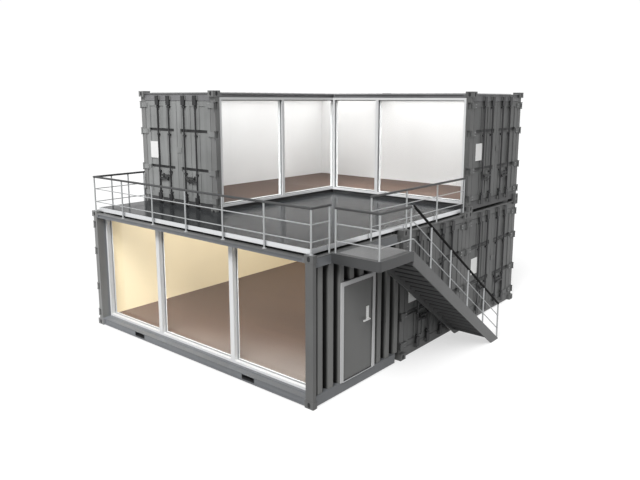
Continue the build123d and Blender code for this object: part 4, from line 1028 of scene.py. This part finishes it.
# ---------------------------------------------------------------- containers
@dataclass
class Containers:
    """Walls, rails, posts, stamped roofs and the painted shade in the casting holes of the five
    units.
    """

    rib_pitch: float = 0.209
    rib_height: float = 0.016
    rib_edge: float = 0.11
    roof_gap: float = 0.006
    roof_seam: float = 0.001
    roof_end: float = 0.15
    roof_corner: float = 0.165
    roof_chamfer: float = 0.002
    casting: Triple = (0.178, 0.162, 0.118)
    hole: Pair = (0.06, 0.088)
    hole_share: float = 0.98
    hole_depths: Pair = (-0.045, -0.006)
    pocket_gap: float = 0.0035
    pocket_plate: float = 0.002
    pocket_end: float = 0.012

    def build(self) -> None:
        """Dress the steel, lay the stamped roof sheets, plug the casting holes with painted shade
        and line the fork pockets.
        """
        dress(CONTAINER, "lower_corner_posts upper_corner_posts middle_unit_rails "
              "rear_unit_rails left_end_walls rear_side_wall upper_left_side_wall "
              "upper_left_end_wall upper_right_back_wall ground_roof")
        dress(FRONT_RAIL, "front_unit_rails")
        dress(UPPER_RAIL, "upper_left_unit_rails upper_right_unit_rails")
        dress(ENTRANCE_WALL, "entrance_wall_left entrance_wall_right entrance_wall_over_door")
        self.roof_sheets()
        self.hole_liners()
        self.fork_tunnels()

    def fork_tunnels(self) -> None:
        """Line the fork pockets with thin plates, from the front rail to the back one."""
        made = []
        for opening in frame["record"]["physics"]["openings"]:
            if not opening["name"].startswith("fork_pocket"):
                continue
            low, high = np.array(opening["box_m"]) + np.array([[-1.0], [1.0]]) * self.pocket_gap
            low[1], high[1] = self.pocket_end, UNIT_WIDTH - self.pocket_end
            for axis in (0, 2):
                start, stop = low.copy(), high.copy()
                stop[axis] = low[axis] + self.pocket_plate
                start[axis] = high[axis] - self.pocket_plate
                made += [slab(low, stop, self.pocket_plate / 4),
                         slab(start, high, self.pocket_plate / 4)]
        make_piece("fork_pocket_linings", made, JOIST_STEEL)

    def hole_liners(self) -> None:
        """Plug the castings' holes with a dark inset: painted shade for their hollow inside.

        A hole's outline is a stadium: a half circle of half the width above and below a
        straight part, drawn as (w/2 cos t, w/2 sin t + or - straight/2).
        """
        length, width, height = self.casting
        straight = (self.hole[1] - self.hole[0]) / 2
        arc = half_circle(self.hole[0] / 2)
        outline = np.concatenate([arc + (0, straight), -arc - (0, straight)]) * self.hole_share
        plug = raised([outline] * 2, self.hole_depths)
        levels = np.array((height / 2, UNIT_HEIGHT - height / 2))
        front = UNITS["front"]
        faces = []
        for case in UNITS.values():
            for end in case.ends:
                spots = [case.at(end * UNIT_LENGTH, (width / 2, UNIT_WIDTH - width / 2), z)
                         for z in levels]
                faces.append((spots, np.array(case.along) * (2 * end - 1)))
                u = UNIT_LENGTH - length / 2 if end else length / 2
                faces += [(case.at(u, side * UNIT_WIDTH, levels), case.across() * (2 * side - 1))
                          for side in case.open_sides]
        faces.append((front.at(length / 2, UNIT_WIDTH, levels), front.across()))
        made = [plug.copies(spots, way, np.cross(UP, way)) for spots, way in faces]
        # Dark plugs standing for the shade inside the hollow castings.
        make_piece("casting_hole_shade_plugs", made, RUBBER)

    def roof_sheets(self) -> None:
        """Lay a stamped sheet with flat ends on each upper unit in place of the flat plates."""
        (x0, y0, z0), (x1, y1, z1) = box("upper_roof")
        gap, corner, chamfer = self.roof_gap, self.roof_corner, self.roof_chamfer
        near, far, side = y0 + self.roof_end, y1 - self.roof_end, x1 - self.roof_end
        wave = (self.rib_pitch, self.rib_height, self.rib_edge)
        made = [stamped((gap, near, z0), (UNIT_WIDTH - gap, far, z1), 1, *wave),
                stamped((UNIT_WIDTH + self.roof_seam, 2 * UNIT_WIDTH + gap, z0), (side, y1, z1),
                        0, *wave),
                slab((corner, y0, z0), (UNIT_WIDTH - corner, near, z1), chamfer),
                slab((corner, far, z0), (UNIT_WIDTH - corner, y1, z1), chamfer),
                slab((side, 2 * UNIT_WIDTH + corner, z0), (x1, 3 * UNIT_WIDTH - corner, z1),
                     chamfer)]
        sheets = make_piece("upper_roof_sheets", made, ROOF_STEEL)
        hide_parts("upper_roof")


# ---------------------------------------------------------------- cargo doors
@dataclass
class CargoDoors:
    """The seals, bolts, clamps, keepers and blank plates of the five cargo door ends.

    Places are counted across the unit from the leaf's hinge side. Depths and insets are
    counted inwards from the leaf's face or the unit's end, and rises the other way.
    """

    face: float = 0.05
    leaf_edge: float = 0.163
    meeting: float = 0.005
    low: float = 0.198
    high: float = 2.232
    seal_depth: float = 0.022
    seal: tuple[Pair, ...] = (
        (0.006, -0.012), (-0.0035, -0.014), (-0.0045, 0.0), (-0.0035, 0.014), (0.006, 0.012))
    rods: Pair = (0.6, 0.97)
    rod_inset: float = 0.029
    brackets: tuple[float, ...] = (0.32, 0.76, 1.54, 2.11)
    bracket_bolt: Pair = (0.005, 0.006)
    bracket_reach: float = 0.029
    clamp_radii: Pair = (0.0205, 0.0155)
    clamp_foot: tuple[Pair, ...] = ((0.036, 0.0), (0.036, 0.004), (0.021, 0.004))
    clamp_half: float = 0.014
    hinges: tuple[float, ...] = (0.26, 0.825, 1.59, 2.15)
    hinge_bolt: Pair = (0.007, 0.007)
    hinge_inset: float = 0.031
    hinge_bolts: Pair = (0.176, 0.208)
    hinge_rise: float = 0.03
    bands: Pair = (0.84, 1.62)
    band_inset: float = 0.104
    band_levels: Pair = (-0.012, 0.044)
    band_depths: Pair = (0.039, 0.035)
    plate_low: Pair = (0.289, 1.029)
    plate_high: Pair = (0.561, 1.381)
    plate_rises: Pair = (-0.001, 0.006)
    plate_margin: float = 0.013
    plate_rivet: Pair = (0.005, 0.002)
    handle_ends: tuple[Pair, ...] = ((0.86, 0.6), (0.7, 0.67))
    catch_half: float = 0.016
    catch_sink: float = 0.012
    catch_depth: float = 0.016
    catch_levels: Pair = (-0.034, 0.05)
    shelf_levels: Pair = (-0.01, -0.002)
    nose_inset: float = 0.007
    nose_depth: float = 0.003
    nose_levels: Pair = (-0.01, 0.012)
    cam_half: float = 0.055
    keeper_gaps: Pair = (0.008, 0.02)
    keeper_levels: tuple[Pair, ...] = ((0.105, 0.18), (2.255, 2.335))
    keeper_sink: float = 0.004
    keeper_inset: float = 0.018
    parts: dict = field(default_factory=dict)

    def build(self) -> None:
        """Dress the leaves and rods, then make the small parts of every leaf."""
        dress(DOOR_STEEL, "lower_fixed_cargo_doors upper_cargo_doors rear_door_left "
              "rear_door_right")
        dress(ROD_STEEL, "fixed_lock_rods rear_left_lock_rods rear_right_lock_rods")
        for door in UNITS.values():
            self.leaf(door, False, door.left_body)
            self.leaf(door, True, door.right_body)
            self.keepers(door)
        looks = {"seals": (RUBBER, Slot.CONTAINER), "keepers": (CONTAINER, Slot.CONTAINER),
                 "bolts": (BOLT_METAL, Slot.HARDWARE), "plates": (ENAMEL, Slot.FRAME)}
        for (kind, body), shells in self.parts.items():
            finish, slot = looks.get(kind, (ROD_STEEL, Slot.HARDWARE))
            middle = "_door_" if body is Body.CABIN else "_"
            make_piece(body.value + middle + kind, shells, finish, body)

    def keep(self, kind: str, body: Body, shell: Shell) -> None:
        """Gather a shell with the others of its kind and body."""
        self.parts.setdefault((kind, body), []).append(shell)

    def sides(self, far: bool, *places: float) -> list[float]:
        """Places across the unit, counted from the leaf's own side of it."""
        return [UNIT_WIDTH - place if far else place for place in places]

    def leaf(self, door: Unit, far: bool, body: Body) -> None:
        """Make one leaf's seal, bolts, rod clamps, handle catches, painted band shadows and plate.

        Args:
            door: The unit that the leaf closes.
            far: True for the leaf on the far side, where v is high.
            body: The body that it rides on.
        """
        u_face = UNIT_LENGTH - self.face
        inner = UNIT_WIDTH / 2 - self.meeting
        v0, v1 = self.sides(far, self.leaf_edge, inner)
        corners = door.at(u_face - self.seal_depth, (v0, v1, v1, v0),
                          (self.low, self.low, self.high, self.high))
        self.keep("seals", body, carried(corners, np.array(self.seal), UP, True))
        spots = [door.at(UNIT_LENGTH - self.hinge_inset, v, z + rise) for z in self.hinges
                 for v in self.sides(far, *self.hinge_bolts)
                 for rise in (-self.hinge_rise, self.hinge_rise)]
        self.bolts(door, body, bolt(*self.hinge_bolt), spots)
        for place in self.sides(far, *self.rods):
            self.keep("clamps", body, self.clamps(door, place))
            spots = [door.at(UNIT_LENGTH - self.rod_inset, place + side, z)
                     for z in self.brackets for side in (-self.bracket_reach, self.bracket_reach)]
            self.bolts(door, body, bolt(*self.bracket_bolt), spots)
        self.catches(door, far, body)
        # Painted shadow: dark strips in the recessed bands, under each band's upper lip.
        v0, v1 = self.sides(far, self.leaf_edge + self.band_inset, inner - self.band_inset)
        for z in self.bands:
            ends = [(u_face - depth, v, z + rise) for depth, v, rise in
                    zip(self.band_depths, (v0, v1), self.band_levels)]
            self.keep("band_liners", body, door.block(*ends, 0.001))
        if not far:
            back, front = (u_face + rise for rise in self.plate_rises)
            (v0, z0), (v1, z1) = self.plate_low, self.plate_high
            self.keep("plates", body, door.block((back, v0, z0), (front, v1, z1), 0.0015))
            edge = self.plate_margin
            spots = door.at(front, (v0 + edge, v1 - edge) * 2,
                            (z0 + edge, z0 + edge, z1 - edge, z1 - edge))
            self.bolts(door, body, rivet(*self.plate_rivet), spots)

    def bolts(self, door: Unit, body: Body, head: Shell, spots: object) -> None:
        """Gather copies of a head that look out of the unit's end."""
        self.keep("bolts", body, head.copies(spots, door.along, door.across()))

    def clamps(self, door: Unit, place: float) -> Shell:
        """Make the half-round clamps over one rod.

        A clamp is an arc band between two radii with a flat foot at each end.

        Args:
            door: The unit that the rod locks.
            place: Where the rod stands across the unit.

        Returns:
            The clamps, one at each bracket's height.
        """
        outer, inner = (half_circle(radius) for radius in self.clamp_radii)
        foot = np.array(self.clamp_foot)
        outline = np.concatenate([foot, outer[1:-1], foot[::-1] * (-1, 1), inner[::-1]])
        shell = raised([outline[:, ::-1]] * 2, (-self.clamp_half, self.clamp_half))
        spots = door.at(UNIT_LENGTH - self.rod_inset, place, self.brackets)
        return shell.copies(spots, UP, door.along)

    def catches(self, door: Unit, far: bool, body: Body) -> None:
        """Make the hooks that hold the free ends of a leaf's two handles.

        Each is a back plate, a shelf and a nose, at levels counted from the handle's end.

        Args:
            door: The unit that the leaf closes.
            far: True for the leaf on the far side.
            body: The body that it rides on.
        """
        back = UNIT_LENGTH - self.face - self.catch_sink
        nose = UNIT_LENGTH - self.nose_inset
        plates = ((back, back + self.catch_depth, self.catch_levels, 0.002),
                  (back, nose, self.shelf_levels, 0.002),
                  (nose - self.nose_depth, nose, self.nose_levels, 0.001))
        for place, z in self.handle_ends:
            v0, v1 = self.sides(far, place - self.catch_half, place + self.catch_half)
            for u0, u1, (z0, z1), chamfer in plates:
                self.keep("catches", body,
                          door.block((u0, v0, z + z0), (u1, v1, z + z1), chamfer))

    def keepers(self, door: Unit) -> None:
        """Make the lugs on the sill and header that hold the rods' cams.

        Args:
            door: The unit that the rods lock.
        """
        u0, u1 = UNIT_LENGTH - self.face - self.keeper_sink, UNIT_LENGTH - self.keeper_inset
        for place in (*self.sides(False, *self.rods), *self.sides(True, *self.rods)):
            for way in (-1, 1):
                v0, v1 = (place + way * (self.cam_half + gap) for gap in self.keeper_gaps)
                for z0, z1 in self.keeper_levels:
                    self.keep("keepers", Body.CABIN,
                              door.block((u0, v0, z0), (u1, v1, z1), 0.003))


# ---------------------------------------------------------------- entrance
@dataclass
class Entrance:
    """The entrance door's leaf, frame, handles, seal, threshold, lock and screws."""

    seal_inset: float = 0.004
    seal_depth: float = 0.006
    seal: tuple[Pair, ...] = (
        (0.0, -0.006), (-0.008, -0.006), (-0.0095, 0.0), (-0.008, 0.006), (0.0, 0.006))
    step_sink: float = 0.012
    step_reach: float = 0.006
    step_levels: Pair = (0.186, 0.1945)
    plate_depth: float = 0.008
    plate_half: float = 0.035
    lock_level: float = 1.2
    screw_levels: Pair = (1.075, 1.295)
    lock_radii: tuple[float, ...] = (0.013, 0.013, 0.0115, 0.0115)
    lock_heights: tuple[float, ...] = (0.0, 0.004, 0.006, 0.0065)
    keyway: Triple = (0.0015, 0.006, 0.0075)
    screw: Pair = (0.0045, 0.002)

    def build(self) -> None:
        """Dress the door and add its seal, lock, screws and threshold."""
        dress(ENTRANCE_PAINT, "entrance_door_leaf")
        dress(ENTRANCE_PROFILE, "entrance_door_frame")
        dress(HANDLE_METAL, "entrance_door_handles")
        low, high = box("entrance_door_leaf")
        x = high[0] - self.seal_depth
        y0, y1 = low[1] + self.seal_inset, high[1] - self.seal_inset
        z0, z1 = low[2] + self.seal_inset, high[2] - self.seal_inset
        corners = ((x, y0, z0), (x, y1, z0), (x, y1, z1), (x, y0, z1))
        make_piece("entrance_leaf_seal", [carried(corners, np.array(self.seal), UP, True)],
                   RUBBER, Body.ENTRANCE)
        self.lock(high[0] + self.plate_depth)
        edge = box("entrance_door_frame")[1][0]
        step = slab((edge - self.step_sink, low[1] - self.step_reach, self.step_levels[0]),
                    (edge + self.step_reach, high[1] + self.step_reach, self.step_levels[1]),
                    0.002)
        make_piece("entrance_threshold", [step], TRIM_METAL)

    def lock(self, plate: float) -> None:
        """Add the lock cylinder and the plate screws on the outer face.

        Args:
            plate: The x of the lock plate's outer face.
        """
        centre = box("entrance_door_handles")[1][1] - self.plate_half
        place = (plate, centre, self.lock_level)
        cylinder = turned(self.lock_radii, self.lock_heights, 16).copies(place, RIGHT, UP)
        half, reach, height = self.keyway
        keyway = slab((-half, -reach, 0.0), (half, reach, height), 0.0005)
        screws = [(plate, centre, level) for level in self.screw_levels]
        for name, shell, finish in (
                ("lock_cylinder", cylinder, HANDLE_METAL),
                ("keyway", keyway.copies(place, RIGHT, REAR), RUBBER),
                ("plate_screws", rivet(*self.screw).copies(screws, RIGHT, UP), BOLT_METAL)):
            make_piece(f"entrance_{name}", [shell], finish, Body.ENTRANCE)


# ---------------------------------------------------------------- windows
@dataclass
class Windows:
    """The glazed fronts: clear panes, white profiles, rubber gaskets and drain caps."""

    gasket_profile: tuple[Pair, ...] = ((0.0, 0.0), (0.009, 0.0), (0.0072, 0.0042),
                                        (0.0, 0.006))
    cap_shares: Pair = (0.2, 0.8)
    cap_level: float = 0.03
    cap_low: Triple = (-0.02, -0.005, -0.002)
    cap_high: Triple = (0.02, 0.005, 0.004)

    def build(self) -> None:
        """Dress the fronts, then add gaskets and two drain caps under each ground pane."""
        dress(WHITE_PROFILE,
              "front_window_frame upper_left_window_frame upper_right_window_frame")
        dress(CLEAR_GLASS, "front_window_glass upper_window_glass")
        front = self.panes("front_window_glass", 1)
        for place, finish, panes in (
                ("front", GREY_SEAL, front),
                ("upper_left", DARK_SEAL, self.panes("upper_window_glass", 0, True)),
                ("upper_right", DARK_SEAL, self.panes("upper_window_glass", 1, False))):
            make_piece(f"{place}_window_gaskets", [self.gasket(*pane) for pane in panes],
                       finish)
        low, _ = box("front_window_frame")
        spots = [(start[0] * (1 - share) + stop[0] * share, low[1], low[2] + self.cap_level)
                 for start, stop, _ in front for share in self.cap_shares]
        cap = slab(self.cap_low, self.cap_high, 0.002)
        make_piece("front_window_drain_caps", [cap.copies(spots, -REAR, RIGHT)], WHITE_PROFILE)

    def panes(self, name: str, normal: int, left: bool | None = None) -> list[tuple]:
        """Find the panes of a glazed front from the corners of its glass.

        Args:
            name: The glass node.
            normal: The axis across the panes.
            left: True or False for the upper left or right front, None where it is alone.

        Returns:
            One (low, high, normal) for each pane.
        """
        points = corners_of(name)
        if left is not None:
            points = points[(points[:, 0] < UNIT_WIDTH) == left]
        along = 1 - normal
        found = []
        for ends in np.unique(points[:, along].round(4)).reshape(-1, 2):
            pane = np.stack([points.min(0), points.max(0)])
            pane[:, along] = ends
            found.append((*pane, normal))
        return found

    def gasket(self, low: np.ndarray, high: np.ndarray, normal: int) -> Shell:
        """Lay a rubber strip round a pane on both of its faces.

        Args:
            low: The pane's lowest corner.
            high: The pane's highest corner.
            normal: The axis across the pane.

        Returns:
            Both strips.
        """
        along = 1 - normal
        corners = np.stack([low, low, high, high])
        corners[:, along] = np.array((low, high, high, low))[:, along]
        made = []
        for face, way in ((low, -1), (high, 1)):
            corners[:, normal] = face[normal]
            profile = np.array(self.gasket_profile) * (1, way * (along - normal))
            made.append(carried(corners, profile, UP, True))
        return joined(made)


# ---------------------------------------------------------------- rooms
@dataclass
class Rooms:
    """Floors, wall linings and ceilings."""

    def build(self) -> None:
        """Dress the rooms."""
        dress(FLOOR_WOOD, "ground_floor upper_floor")
        dress(CREAM_WALL, "ground_wall_linings entrance_side_linings lining_over_entrance")
        dress(WHITE_WALL, "upper_wall_linings ground_ceiling upper_ceiling")


# ---------------------------------------------------------------- terrace
@dataclass
class Terrace:
    """The deck, its trim, and the railings with their handrails and flanges."""

    post: float = 0.015
    rail: float = 0.02
    handrail: float = 0.0208
    gate: Pair = (0.495, 1.56)
    wall_gap: float = 0.012
    front_bays: int = 6
    flange_y: float = 0.05
    flange: tuple[float, ...] = (0.036, 0.036, 0.0324)
    flange_heights: tuple[float, ...] = (0.0, 0.006, 0.008)
    collar: tuple[float, ...] = (0.021, 0.0165, 0.0165)
    collar_heights: tuple[float, ...] = (0.007, 0.014, 0.016)
    bolt_circle: float = 0.026
    bolt_base: float = 0.007
    head: Pair = (0.005, 0.006)

    def build(self) -> None:
        """Dress the terrace, sleeve its top rails with a round handrail and set the flanges."""
        dress(DECK_SHEET, "deck_floor")
        dress(JOIST_STEEL, "deck_joists")
        dress(TRIM_METAL, "deck_edge_trim")
        dress(RAILING_METAL,
              "front_railing left_railing right_railing landing_railing stair_railing")
        low, high = box("front_railing")
        x0, x1, z = low[0] + self.post, high[0] - self.post, high[2] - self.rail
        y = (low[1] + high[1]) / 2
        around = [(x0, box("left_railing")[1][1], z), (x0, y, z), (x1, y, z),
                  (x1, self.gate[0], z)]
        side = [(x1, self.gate[1], z), (x1, box("right_railing")[1][1] - self.wall_gap, z)]
        ring = circle(self.handrail, 16)
        make_piece("terrace_handrail", [carried(path, ring, UP, domed=True)
                                        for path in (around, side)],
                   HANDRAIL_METAL)
        self.flanges(np.linspace(x0, x1, self.front_bays + 1), low[2])

    def flanges(self, places: np.ndarray, roof: float) -> None:
        """Set a bolted flange under every front post.

        Args:
            places: The posts' places along x.
            roof: The height that the posts between the corners stand on.
        """
        spots = np.column_stack([places, np.full(len(places), self.flange_y),
                                 np.full(len(places), roof)])
        spots[[0, -1], 2] = UNIT_HEIGHT
        ring = np.column_stack([circle(self.bolt_circle, 4, math.pi / 4),
                                np.full(4, self.bolt_base)])
        foot = joined([turned(self.flange, self.flange_heights, 20),
                       turned(self.collar, self.collar_heights, 16),
                       bolt(*self.head).copies(ring, UP, RIGHT)])
        make_piece("front_railing_flanges", [foot.copies(spots, UP, RIGHT)], RAILING_METAL)


# ---------------------------------------------------------------- landing and stair
@dataclass
class Stair:
    """The landing and the stair: folded plates, ribbed treads and their handrails."""

    ribs: int = 6
    rib_margins: Pair = (0.04, 0.015)
    rib_end: float = 0.02
    rib_half: float = 0.006
    rib_sink: float = 0.001
    rib_height: float = 0.003
    lip_end: float = 0.002
    lip_depths: Pair = (-0.005, 0.001)
    lip_levels: Pair = (0.001, 0.05)
    sheet_low: Triple = (0.075, 0.09, -0.0005)
    sheet_high: Triple = (-0.09, -0.028, 0.002)
    sheet_wave: Triple = (0.05, 0.0015, 0.02)
    rail: float = 0.02
    sleeve: float = 0.0208
    sleeve_ends: Pair = (0.03, -0.02)
    post: float = 0.015

    def build(self) -> None:
        """Dress landing and stair, then add the ribs, lips, landing sheet and handrails."""
        dress(LANDING_STEEL, "landing")
        dress(STAIR_STEEL, "stair_stringers")
        dress(TREAD_STEEL, "stair_treads")
        dress(RISER_STEEL, "stair_risers")
        self.tread_ribs()
        self.riser_lips()
        (x0, y0, _), (x1, y1, z1) = box("landing")
        sheet = stamped(np.array((x0, y0, z1)) + self.sheet_low,
                        np.array((x1, y1, z1)) + self.sheet_high, 1, *self.sheet_wave)
        make_piece("landing_top_sheet", [sheet], LANDING_SHEET)
        self.handrails()

    def tread_ribs(self) -> None:
        """Lay anti-slip ribs across every tread."""
        points = corners_of("stair_treads")
        made = []
        for top in steps_of(points, 2)[1::2]:
            low, high = ends_at(points, 2, top)
            for y in np.linspace(low[1] + self.rib_margins[0], high[1] - self.rib_margins[1],
                                 self.ribs):
                made.append(slab(
                    (low[0] + self.rib_end, y - self.rib_half, top - self.rib_sink),
                    (high[0] - self.rib_end, y + self.rib_half, top + self.rib_height)))
        make_piece("stair_tread_ribs", made, TREAD_STEEL)

    def riser_lips(self) -> None:
        """Fold a lip along the back of every riser, at its foot."""
        points = corners_of("stair_risers")
        made = []
        for back in steps_of(points, 1)[::2]:
            low, high = ends_at(points, 1, back)
            (y0, y1), (z0, z1) = self.lip_depths, self.lip_levels
            made.append(slab((low[0] + self.lip_end, back + y0, low[2] + z0),
                             (high[0] - self.lip_end, back + y1, low[2] + z1)))
        make_piece("stair_riser_lips", made, TREAD_STEEL)

    def handrails(self) -> None:
        """Sleeve the sloping top rail of the stair and the level one of the landing.

        The rail's middle is the line z = c - s * y: s is the stair's slope, and c is the
        railing's greatest z + s * y less the rail's radius times the square root of 1 + s * s.
        """
        points, treads = corners_of("stair_railing"), corners_of("stair_treads")
        levels, fronts = steps_of(treads, 2), steps_of(treads, 1)
        slope = (levels[3] - levels[1]) / (fronts[3] - fronts[1])
        reach = (points[:, 2] + slope * points[:, 1]).max()
        level = reach - self.rail * math.hypot(1.0, slope)
        low, high = points.min(0), points.max(0)
        ys = np.array((low[1], high[1])) + self.sleeve_ends
        sloping = np.column_stack([np.full(2, high[0] - self.rail), ys, level - slope * ys])
        low, high = box("landing_railing")
        (x1, _, z), y = high - self.rail, low[1] + self.rail
        around = [(low[0] + self.post, y, z), (x1, y, z), (x1, high[1] - self.post, z)]
        for name, path, finish in (("stair", sloping, STAIR_HANDRAIL),
                                   ("landing", around, HANDRAIL_METAL)):
            make_piece(f"{name}_handrail", [carried(path, circle(self.sleeve, 14), UP,
                                                    domed=True)], finish)


# ---------------------------------------------------------------- studio
@dataclass
class Studio:
    """Camera, floor, lamps and plain white surroundings."""

    camera_place: Triple = (12.014, -6.834, 4.719)
    yaw: float = 129.46
    pitch: float = -10.07
    roll: float = 0.18
    lens: float = 35.68
    shift: Pair = (-0.01625, -0.0442)
    white: float = 1.02
    world_strength: float = 0.27
    floor_reach: float = 60.0
    floor_centre: Triple = (3.0, 3.6, -0.0005)
    floor_tone: float = 0.4
    floor_glow: float = 0.6
    sun_strength: float = 3.7
    sun_angle: float = 28.0
    sun_way: Triple = (-0.3, 0.7, -0.9)
    panels: tuple[tuple, ...] = (("ground_panel", (2.93, 3.67, 2.28), (5.2, 6.4), 200.0),
                                 ("upper_left_panel", (1.25, 4.4, 4.71), (1.9, 5.4), 64.0),
                                 ("upper_right_panel", (4.1, 6.1, 4.71), (3.3, 1.9), 44.0))

    def build(self) -> None:
        """Set up the whole studio."""
        self.camera()
        self.world()
        self.floor()
        self.lamps()
        bpy.context.scene.view_settings.view_transform = "Standard"

    def camera(self) -> None:
        """Place the camera by its yaw, pitch and roll."""
        data = settled(bpy.data.cameras.new("camera"), lens=self.lens, sensor_width=36.0,
                       shift_x=self.shift[0], shift_y=self.shift[1], clip_end=200.0)
        yaw, pitch = math.radians(self.yaw), math.radians(self.pitch)
        look = Vector((math.cos(pitch) * math.cos(yaw), math.cos(pitch) * math.sin(yaw),
                       math.sin(pitch)))
        turn = Quaternion(look, -math.radians(self.roll)) @ look.to_track_quat("-Z", "Y")
        bpy.context.scene.camera = settled(
            placed("camera", data), rotation_mode="QUATERNION", rotation_quaternion=turn,
            location=self.camera_place)

    def white_share(self, board: Board) -> Value:
        """1 for rays that should see plain white: from the camera, mirrored or through glass."""
        path = board.node("ShaderNodeLightPath")
        camera, glossy, through = (path.outputs[ray.value] for ray in Ray)
        return board.math("ADD", board.math("ADD", camera, glossy), through, clamp=True)

    def world(self) -> None:
        """A white world: a plain level for light, and full white where it is seen."""
        world = bpy.data.worlds.new("studio")
        bpy.context.scene.world = world
        world.use_nodes = True
        board = Board(world.node_tree)
        rise = self.white_share(board) * (self.white - self.world_strength)
        board.fill(world.node_tree.nodes["Background"], Color=WHITE,
                   Strength=rise + self.world_strength)

    def floor(self) -> None:
        """A wide pale floor that keeps the cabin's shadow."""
        mesh = bpy.data.meshes.new("studio_floor")
        corners = np.array([(-1, -1, 0), (1, -1, 0), (1, 1, 0), (-1, 1, 0)]) * self.floor_reach
        mesh.from_pydata(corners + self.floor_centre, [], [(0, 1, 2, 3)])
        material = bpy.data.materials.new("studio_floor")
        material.use_nodes = True
        board = Board(material.node_tree)
        board.fill(material.node_tree.nodes["Principled BSDF"], Roughness=0.8,
                   Base_Color=(*[self.floor_tone] * 3, 1), Specular_IOR_Level=0.1,
                   Emission_Color=WHITE,
                   Emission_Strength=self.white_share(board) * self.floor_glow)
        mesh.materials.append(material)
        placed("studio_floor", mesh)

    def lamps(self) -> None:
        """A soft key from the front left, and a soft panel under each ceiling."""
        sun = settled(bpy.data.lights.new("key", "SUN"), energy=self.sun_strength,
                      angle=math.radians(self.sun_angle))
        settled(placed("key", sun), rotation_mode="QUATERNION",
                rotation_quaternion=Vector(self.sun_way).to_track_quat("-Z", "Y"))
        for name, place, (size_x, size_y), power in self.panels:
            data = settled(bpy.data.lights.new(name, "AREA"), shape="RECTANGLE", size=size_x,
                           size_y=size_y, energy=power)
            settled(placed(name, data), location=place, visible_camera=False,
                    visible_glossy=False, visible_transmission=False)


def main() -> None:
    """Build every class in order."""
    logging.basicConfig(level=logging.INFO, format="%(name)s %(message)s")
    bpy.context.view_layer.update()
    for part in (Studio(), Containers(), CargoDoors(), Entrance(), Windows(), Rooms(), Terrace(),
                 Stair()):
        part.build()
        log.info("built %s", type(part).__name__)


if __name__ == "__main__":
    main()
